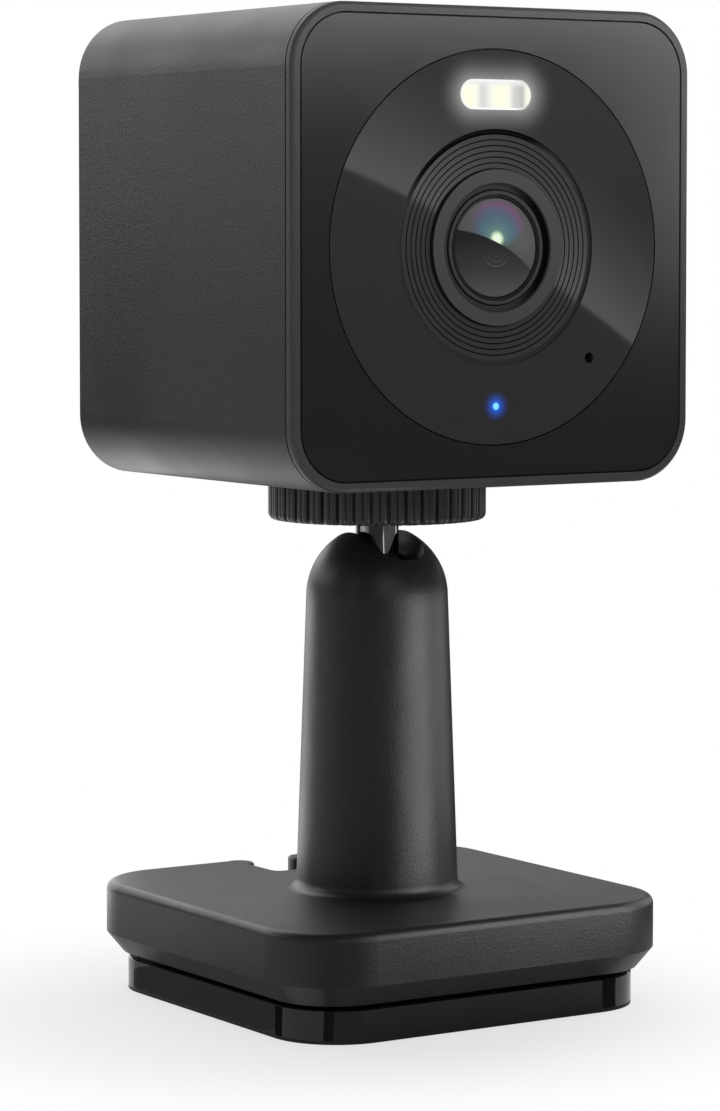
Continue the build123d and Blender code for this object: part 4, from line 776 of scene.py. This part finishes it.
# Ribbed lock wheel
WHEEL_RIBS = 40
WHEEL_STEPS = 28
WHEEL_R = wheel_high.x
GROOVE_DEPTH = 0.48 * MM
GROOVE_FLOOR_SHARE = 0.04
GROOVE_SHARE = 0.125
SHOULDER_DEPTH = 0.085 * MM
SHOULDER_SHARE = 0.27
MIDDLE_DEPTH = 0.16 * MM
MIDDLE_SHARE = 0.09
WHEEL_EDGE_R = 0.75 * MM
WHEEL_EDGE_STEPS = 5
WASHER_RECESS_OUTER_R = 10.5 * MM
WASHER_RECESS_INNER_R = 6.9 * MM
WASHER_RECESS_DEPTH = 0.5 * MM
WHEEL_BORE_R = 3.225 * MM


def eased(share):
    """0 to 1 with a soft start and end, held outside that range."""
    share = min(max(share, 0.0), 1.0)
    return share * share * (3 - 2 * share)


def rib_radius(turn, inset):
    """Radius of the wheel at this angle: ribs between grooves, each rib with a shallow line."""
    share = (turn * WHEEL_RIBS / (2 * pi)) % 1.0
    from_groove = min(share, 1.0 - share)
    groove = 1 - eased((from_groove - GROOVE_FLOOR_SHARE) / (GROOVE_SHARE - GROOVE_FLOOR_SHARE))
    shoulder = 1 - eased((from_groove - GROOVE_SHARE) / (SHOULDER_SHARE - GROOVE_SHARE))
    middle = 1 - eased((0.5 - from_groove) / MIDDLE_SHARE)
    depth = GROOVE_DEPTH * groove + SHOULDER_DEPTH * shoulder + MIDDLE_DEPTH * middle
    return WHEEL_R - inset - depth


def make_wheel():
    """Knurled wheel with a rounded lower edge, a recess for the washer and a bore for the stud."""
    count = WHEEL_RIBS * WHEEL_STEPS
    turns = [2 * pi * i / count for i in range(count)]

    def plain(z, radius):
        return [Vector((radius * cos(t), radius * sin(t), z)) for t in turns]

    def ribbed(z, inset):
        radii = [rib_radius(t, inset) for t in turns]
        return [Vector((r * cos(t), r * sin(t), z)) for r, t in zip(radii, turns)]

    bottom, top = wheel_low.z, wheel_high.z
    loops = [plain(bottom, WHEEL_BORE_R)]
    for step in range(WHEEL_EDGE_STEPS + 1):
        rise = (pi / 2) * step / WHEEL_EDGE_STEPS
        inset = WHEEL_EDGE_R * (1 - sin(rise))
        loops.append(ribbed(bottom + WHEEL_EDGE_R * (1 - cos(rise)), inset))
    loops += [
        ribbed(top, 0.0),
        plain(top, WASHER_RECESS_OUTER_R),
        plain(top - WASHER_RECESS_DEPTH, WASHER_RECESS_OUTER_R),
        plain(top - WASHER_RECESS_DEPTH, WASHER_RECESS_INNER_R),
        plain(top, WASHER_RECESS_INNER_R),
        plain(top, WHEEL_BORE_R),
    ]
    bm = bmesh.new()
    skin(bm, loops)
    piece("wheel_knurled", bm, WHEEL, "lock_wheel", "wheel_black", "lock_wheel")


make_wheel()


# Cable clips: a round tab on each wall of the notch in the base
BASE_TOP = 12.65 * MM
CLIP_X = 4.5 * MM
CLIP_Y = 23.5 * MM
CLIP_R = 1.8 * MM
CLIP_ROOT = 0.4 * MM
CLIP_HEIGHT = 1.9 * MM
CLIP_DROP = 0.08 * MM
CLIP_EDGE = 0.2 * MM
CLIP_STEPS = 14


def clip_outline(side, inset, z):
    """A half-round tab that reaches in from one wall of the notch."""
    points = [Vector((side * (CLIP_X + CLIP_ROOT), CLIP_Y - CLIP_R + inset, z))]
    for step in range(CLIP_STEPS + 1):
        turn = -pi / 2 + pi * step / CLIP_STEPS
        reach = (CLIP_R - inset) * cos(turn)
        points.append(Vector((side * (CLIP_X - reach), CLIP_Y + (CLIP_R - inset) * sin(turn), z)))
    points.append(Vector((side * (CLIP_X + CLIP_ROOT), CLIP_Y + CLIP_R - inset, z)))
    return points


def make_clips():
    """Two tabs that keep a cable in the notch."""
    top = BASE_TOP - CLIP_DROP
    bottom = top - CLIP_HEIGHT
    levels = ((CLIP_EDGE, bottom), (0, bottom + CLIP_EDGE), (0, top - CLIP_EDGE), (CLIP_EDGE, top))
    bm = bmesh.new()
    for side in (-1, 1):
        rows = skin(bm, [clip_outline(side, inset, z) for inset, z in levels], closed=False)
        bm.faces.new(rows[0])
        bm.faces.new(rows[-1])
    piece("cable_clips", bm, STAND, "stand", "shell_black")


make_clips()


# Stage

FLOOR_SIZE = 6.0
FLOOR_COLOUR = 0.84
FLOOR_NEAR = 24 * MM
FLOOR_FAR = 62 * MM
FLOOR_LIFT = 0.68
SHADOW_X = -10 * MM
SHADOW_Y = -3 * MM
BEHIND_NEAR = 30 * MM
BEHIND_FAR = 100 * MM


def mix_glow(tree, share, level):
    """Mix an even glow of this level into the shader, by a share from 0 to 1."""
    glow = tree.nodes.new("ShaderNodeEmission")
    glow.inputs["Strength"].default_value = level
    mixer = tree.nodes.new("ShaderNodeMixShader")
    tree.link(share, mixer.inputs["Fac"])
    tree.link(tree.shader.outputs["BSDF"], mixer.inputs[1])
    tree.link(glow.outputs["Emission"], mixer.inputs[2])
    tree.link(mixer.outputs["Shader"], tree.nodes["Material Output"].inputs["Surface"])


def floor_material():
    """Pale matte floor: lit and shaded near the object, and white further out."""
    tree = Tree("floor")
    speck = tree.noise(20.0 * MM)
    low, high = FLOOR_COLOUR * 0.995, FLOOR_COLOUR * 1.005
    tree.drive(Base_Color=tree.speckle(speck, (low, low, low), (high, high, high)))
    tree.set(Roughness=0.9, Specular_IOR_Level=0.0)
    x, y, _ = tree.axes()
    out = tree.length(tree.math("SUBTRACT", x, SHADOW_X), tree.math("SUBTRACT", y, SHADOW_Y))
    far = tree.remap(out, FLOOR_NEAR, FLOOR_FAR, FLOOR_LIFT, 1.0, smooth=True)
    behind = tree.remap(y, BEHIND_NEAR, BEHIND_FAR, 0.0, 1.0, smooth=True)
    path = tree.nodes.new("ShaderNodeLightPath").outputs
    mirrored = tree.math("MAXIMUM", path["Is Glossy Ray"], path["Is Transmission Ray"])
    straight = tree.math("MULTIPLY", far, path["Is Camera Ray"])
    mix_glow(tree, tree.math("MAXIMUM", straight, tree.math("MULTIPLY", behind, mirrored)), 1.0)
    return tree.material


def square(half):
    """Corners of a level square about the origin."""
    return [(-half, -half, 0), (half, -half, 0), (half, half, 0), (-half, half, 0)]


def make_floor():
    """The floor that the part stands on."""
    mesh = bpy.data.meshes.new("floor")
    mesh.from_pydata(square(FLOOR_SIZE / 2), [], [(0, 1, 2, 3)])
    mesh.materials.append(floor_material())
    floor = bpy.data.objects.new("floor", mesh)
    scene.collection.objects.link(floor)


make_floor()

WORLD_LIGHT = 0.45


def make_world():
    """White where it is seen, mirrored or through glass; a softer level lights the part."""
    world = bpy.data.worlds.new("world")
    scene.world = world
    world.use_nodes = True
    tree_nodes, links = world.node_tree.nodes, world.node_tree.links
    background = tree_nodes["Background"]
    background.inputs["Color"].default_value = (1.0, 1.0, 1.0, 1.0)
    path = tree_nodes.new("ShaderNodeLightPath").outputs
    seen = path["Is Camera Ray"]
    for name in ("Is Glossy Ray", "Is Transmission Ray"):
        node = tree_nodes.new("ShaderNodeMath")
        node.operation = "MAXIMUM"
        links.new(seen, node.inputs[0])
        links.new(path[name], node.inputs[1])
        seen = node.outputs[0]
    level = tree_nodes.new("ShaderNodeMapRange")
    level.inputs["To Min"].default_value = WORLD_LIGHT
    level.inputs["To Max"].default_value = 1.0
    links.new(seen, level.inputs["Value"])
    links.new(level.outputs["Result"], background.inputs["Strength"])


make_world()


# Panels of light round the object, which the camera itself does not see

def glow_material(name, level):
    """An even glow."""
    tree = Tree(name)
    tree.emit(level)
    return tree.material


def stage_panel(name, points, faces, material):
    """Put a panel on the stage, which lights the part, is mirrored in it and casts no shadow."""
    mesh = bpy.data.meshes.new(name)
    mesh.from_pydata(points, [], faces)
    mesh.materials.append(material)
    panel = bpy.data.objects.new(name, mesh)
    scene.collection.objects.link(panel)
    panel.visible_camera = False
    panel.visible_shadow = False
    return panel


STUDIO_R = 450 * MM
STUDIO_MIDDLE = Vector((0, 0, 60 * MM))
PANEL_STEP = 8
FLAG_R = 460 * MM
FLAG_LEVEL = 0.05
WALL_STEPS = 12
FLOOR_FLAG_RISE = 0.3
PLATE_CORNER = 8 * MM
VIEWER_TURN = radians(-123)
CORNER_STEPS = 4
CORNER_REACH = (0.4, 40)
CORNER_RISE = 0.4


def make_panel(name, azimuths, heights, level, radius=STUDIO_R):
    """A curved panel between two azimuths and two heights, in degrees, as seen from the object."""
    points, faces = [], []
    across = round((azimuths[1] - azimuths[0]) / PANEL_STEP) + 1
    up = round((heights[1] - heights[0]) / PANEL_STEP) + 1
    for i in range(across + 1):
        azimuth = radians(azimuths[0] + (azimuths[1] - azimuths[0]) * i / across)
        for j in range(up + 1):
            height = radians(heights[0] + (heights[1] - heights[0]) * j / up)
            aim = Vector((cos(height) * cos(azimuth), cos(height) * sin(azimuth), sin(height)))
            points.append(STUDIO_MIDDLE + aim * radius)
    row = up + 1
    for i in range(across):
        for j in range(up):
            faces.append((i * row + j, (i + 1) * row + j, (i + 1) * row + j + 1, i * row + j + 1))
    return stage_panel(name, points, faces, glow_material(name, level))


def make_flag(name, azimuths, heights):
    """A dark flag behind the panels, which only reflections see."""
    flag = make_panel(name, azimuths, heights, FLAG_LEVEL, FLAG_R)
    flag.visible_diffuse = False


def make_wall(name, azimuths, distance, low, high, foot_level, head_level):
    """An upright curved card round the post's axis, which only reflections see."""
    tree = Tree(name)
    _, _, z = tree.axes()
    tree.emit(tree.remap(z, low * MM, high * MM, foot_level, head_level))
    points = []
    for step in range(WALL_STEPS + 1):
        azimuth = radians(azimuths[0] + (azimuths[1] - azimuths[0]) * step / WALL_STEPS)
        for height in (low, high):
            points.append(Vector((distance * cos(azimuth), distance * sin(azimuth), height)) * MM)
    faces = [(2 * i, 2 * i + 2, 2 * i + 3, 2 * i + 1) for i in range(WALL_STEPS)]
    wall = stage_panel(name, points, faces, tree.material)
    wall.visible_diffuse = False


def make_shelf(name, azimuths, near, far, height, level):
    """A level card round the post's axis, which only reflections see."""
    points = []
    for step in range(WALL_STEPS + 1):
        azimuth = radians(azimuths[0] + (azimuths[1] - azimuths[0]) * step / WALL_STEPS)
        for reach in (near, far):
            points.append(Vector((reach * cos(azimuth), reach * sin(azimuth), height)) * MM)
    faces = [(2 * i, 2 * i + 1, 2 * i + 3, 2 * i + 2) for i in range(WALL_STEPS)]
    stage_panel(name, points, faces, glow_material(name, level)).visible_diffuse = False


def make_floor_flag(name, left, front, right, back, level):
    """A card on the floor, which only reflections see."""
    corners = [(left, front), (right, front), (right, back), (left, back)]
    points = [Vector((x, y, FLOOR_FLAG_RISE)) * MM for x, y in corners]
    flag = stage_panel(name, points, [(0, 1, 2, 3)], glow_material(name, level))
    flag.visible_diffuse = False


def make_corner_flag(name, side, facing, level):
    """A fan-shaped card on the floor, mirrored as an upright band in a corner of the plate."""
    reach_x, reach_y = plate_high.x - PLATE_CORNER, plate_high.y - PLATE_CORNER
    middle = Vector((side[0] * reach_x, side[1] * reach_y, 0))
    points = []
    for step in range(CORNER_STEPS + 1):
        turn = radians(facing[0] + (facing[1] - facing[0]) * step / CORNER_STEPS)
        foot = middle + Vector((cos(turn), sin(turn), 0)) * PLATE_CORNER
        mirrored = 2 * turn - VIEWER_TURN
        for reach in CORNER_REACH:
            step_out = Vector((cos(mirrored) * reach, sin(mirrored) * reach, CORNER_RISE))
            points.append(foot + step_out * MM)
    faces = [(2 * i, 2 * i + 1, 2 * i + 3, 2 * i + 2) for i in range(CORNER_STEPS)]
    stage_panel(name, points, faces, glow_material(name, level)).visible_diffuse = False


def make_area(name, place, aim, width, height, power, spread):
    """A small soft lamp, in millimetres, whose light keeps within an angle."""
    data = bpy.data.lights.new(name, "AREA")
    data.shape = "RECTANGLE"
    data.size = width * MM
    data.size_y = height * MM
    data.energy = power
    data.spread = radians(spread)
    lamp = bpy.data.objects.new(name, data)
    scene.collection.objects.link(lamp)
    lamp.location = Vector(place) * MM
    lamp.rotation_euler = (Vector(aim) - Vector(place)).to_track_quat("-Z", "Y").to_euler()


# Dark flags all round, behind everything else
make_flag("flag_high", (-180, 180), (8, 90))
make_flag("flag_low", (-168, 138), (-9, 8))
make_flag("flag_left", (138, 192), (-4, 8))
# Cards on the floor round the plate, and bands that its corners mirror
make_floor_flag("flag_floor_right", 32, -240, 900, 900, FLAG_LEVEL)
make_floor_flag("flag_floor_front", -70, -240, 32, -62, FLAG_LEVEL)
make_floor_flag("flag_floor_left", -42, -12, -24, 28, 0.20)
make_corner_flag("flag_corner_left", (-1, -1), (-180, -171), 0.03)
make_corner_flag("flag_corner_mid", (-1, -1), (-171, -133), 0.55)
make_corner_flag("flag_corner_thin", (-1, -1), (-133, -125), 0.08)
make_corner_flag("flag_corner_right", (-1, -1), (-125, -103), 0.28)
make_corner_flag("flag_far_dark", (1, -1), (-88, -74), 0.06)
make_corner_flag("flag_far_light", (1, -1), (-74, -40), 0.75)
make_corner_flag("flag_end_light", (-1, 1), (172, 150), 0.85)
# Low dark cards in front and behind, and the lit panels
make_wall("wall_front", (-95, -22), 150, 0.5, 50, 0.08, 0.08)
make_wall("wall_back", (104, 137), 220, 0.5, 60, 0.06, 0.06)
make_panel("panel_back_high", (40, 116), (28, 55), 2.1)
make_panel("panel_back_low", (76, 108), (8, 28), 2.4)
make_panel("panel_back_edge", (70, 102), (-9, 8), 1.0)
make_panel("panel_back_left", (108, 152), (14, 28), 1.9)
make_panel("panel_back_left_low", (108, 152), (6, 14), 1.05)
make_panel("panel_back_right", (40, 76), (5, 28), 0.8)
make_panel("panel_right", (0, 30), (8, 28), 1.4)
make_panel("panel_left", (-180, -150), (8, 28), 0.5)
make_panel("panel_front", (-120, -90), (8, 28), 1.2)
# Cards that the post, the rim and the neck mirror
make_wall("wall_post", (-74, -42), 62, 7, 26, 4.6, 3.4)
make_wall("wall_post_upper", (-74, -42), 62, 26, 51, 3.4, 5.2)
make_wall("wall_post_side", (-92, -74), 62, 7, 51, 2.2, 2.0)
make_wall("wall_post_far", (-42, 4), 62, 12, 51, 1.0, 1.6)
make_wall("wall_post_edge", (90, 124), 62, 3, 46, 2.0, 2.0)
make_shelf("flag_shelf", (-95, -40), 27, 64, 52, FLAG_LEVEL)
make_wall("wall_right", (-8, 48), 80, 66, 128, FLAG_LEVEL, FLAG_LEVEL)
make_wall("wall_neck", (-88, -10), 24, 47, 54, 0.18, 0.18)
# Two soft lamps for the face
make_area("lamp_face_top", (30, -80, 128), (4, -24, 122), 100, 22, 0.0080, 70)
make_area("lamp_face_right", (104, -82, 104), (40, -24, 106), 50, 44, 0.0025, 42)


# Card that the window mirrors: dark below a slanted curved edge, brightest just above it
CARD_DISTANCE = 350 * MM
CARD_AIM = Vector((0.5418, -0.8405, 0.0))
CARD_ACROSS = Vector((0.8405, 0.5418, 0.0))
CARD_HALF = 48 * MM
CARD_DARK = 0.24
CARD_LIGHT = 1.43
CARD_FADE = 30 * MM
CARD_FADE_POWER = 1.5
CARD_EDGE = 0.5 * MM
EDGE_RISE = 5.616 * MM
EDGE_SLOPE = -0.5326
EDGE_CURVE = -3.608


def card_material():
    """Glow by place on the card."""
    tree = Tree("card")
    u, v, _ = tree.axes()
    edge = slanted_edge(tree, u, EDGE_RISE, EDGE_SLOPE, EDGE_CURVE)
    above = tree.math("SUBTRACT", v, edge)
    fade = tree.math("POWER", tree.remap(above, 0.0, CARD_FADE, 1.0, 0.0), CARD_FADE_POWER)
    lit = tree.math("MULTIPLY", fade, tree.remap(above, 0.0, CARD_EDGE, 0.0, CARD_LIGHT))
    tree.emit(tree.math("ADD", lit, CARD_DARK))
    return tree.material


def make_card():
    """Stand the card in front of the window, facing it."""
    card = stage_panel("card", square(CARD_HALF), [(0, 1, 2, 3)], card_material())
    up = Vector((0, 0, 1))
    turn = Matrix((CARD_ACROSS, up, CARD_ACROSS.cross(up))).transposed().to_4x4()
    place = Vector((0, FACE_Y, LENS_Z)) + CARD_AIM * CARD_DISTANCE
    card.matrix_world = Matrix.Translation(place) @ turn
    card.visible_diffuse = False


make_card()

scene.view_settings.view_transform = "Standard"
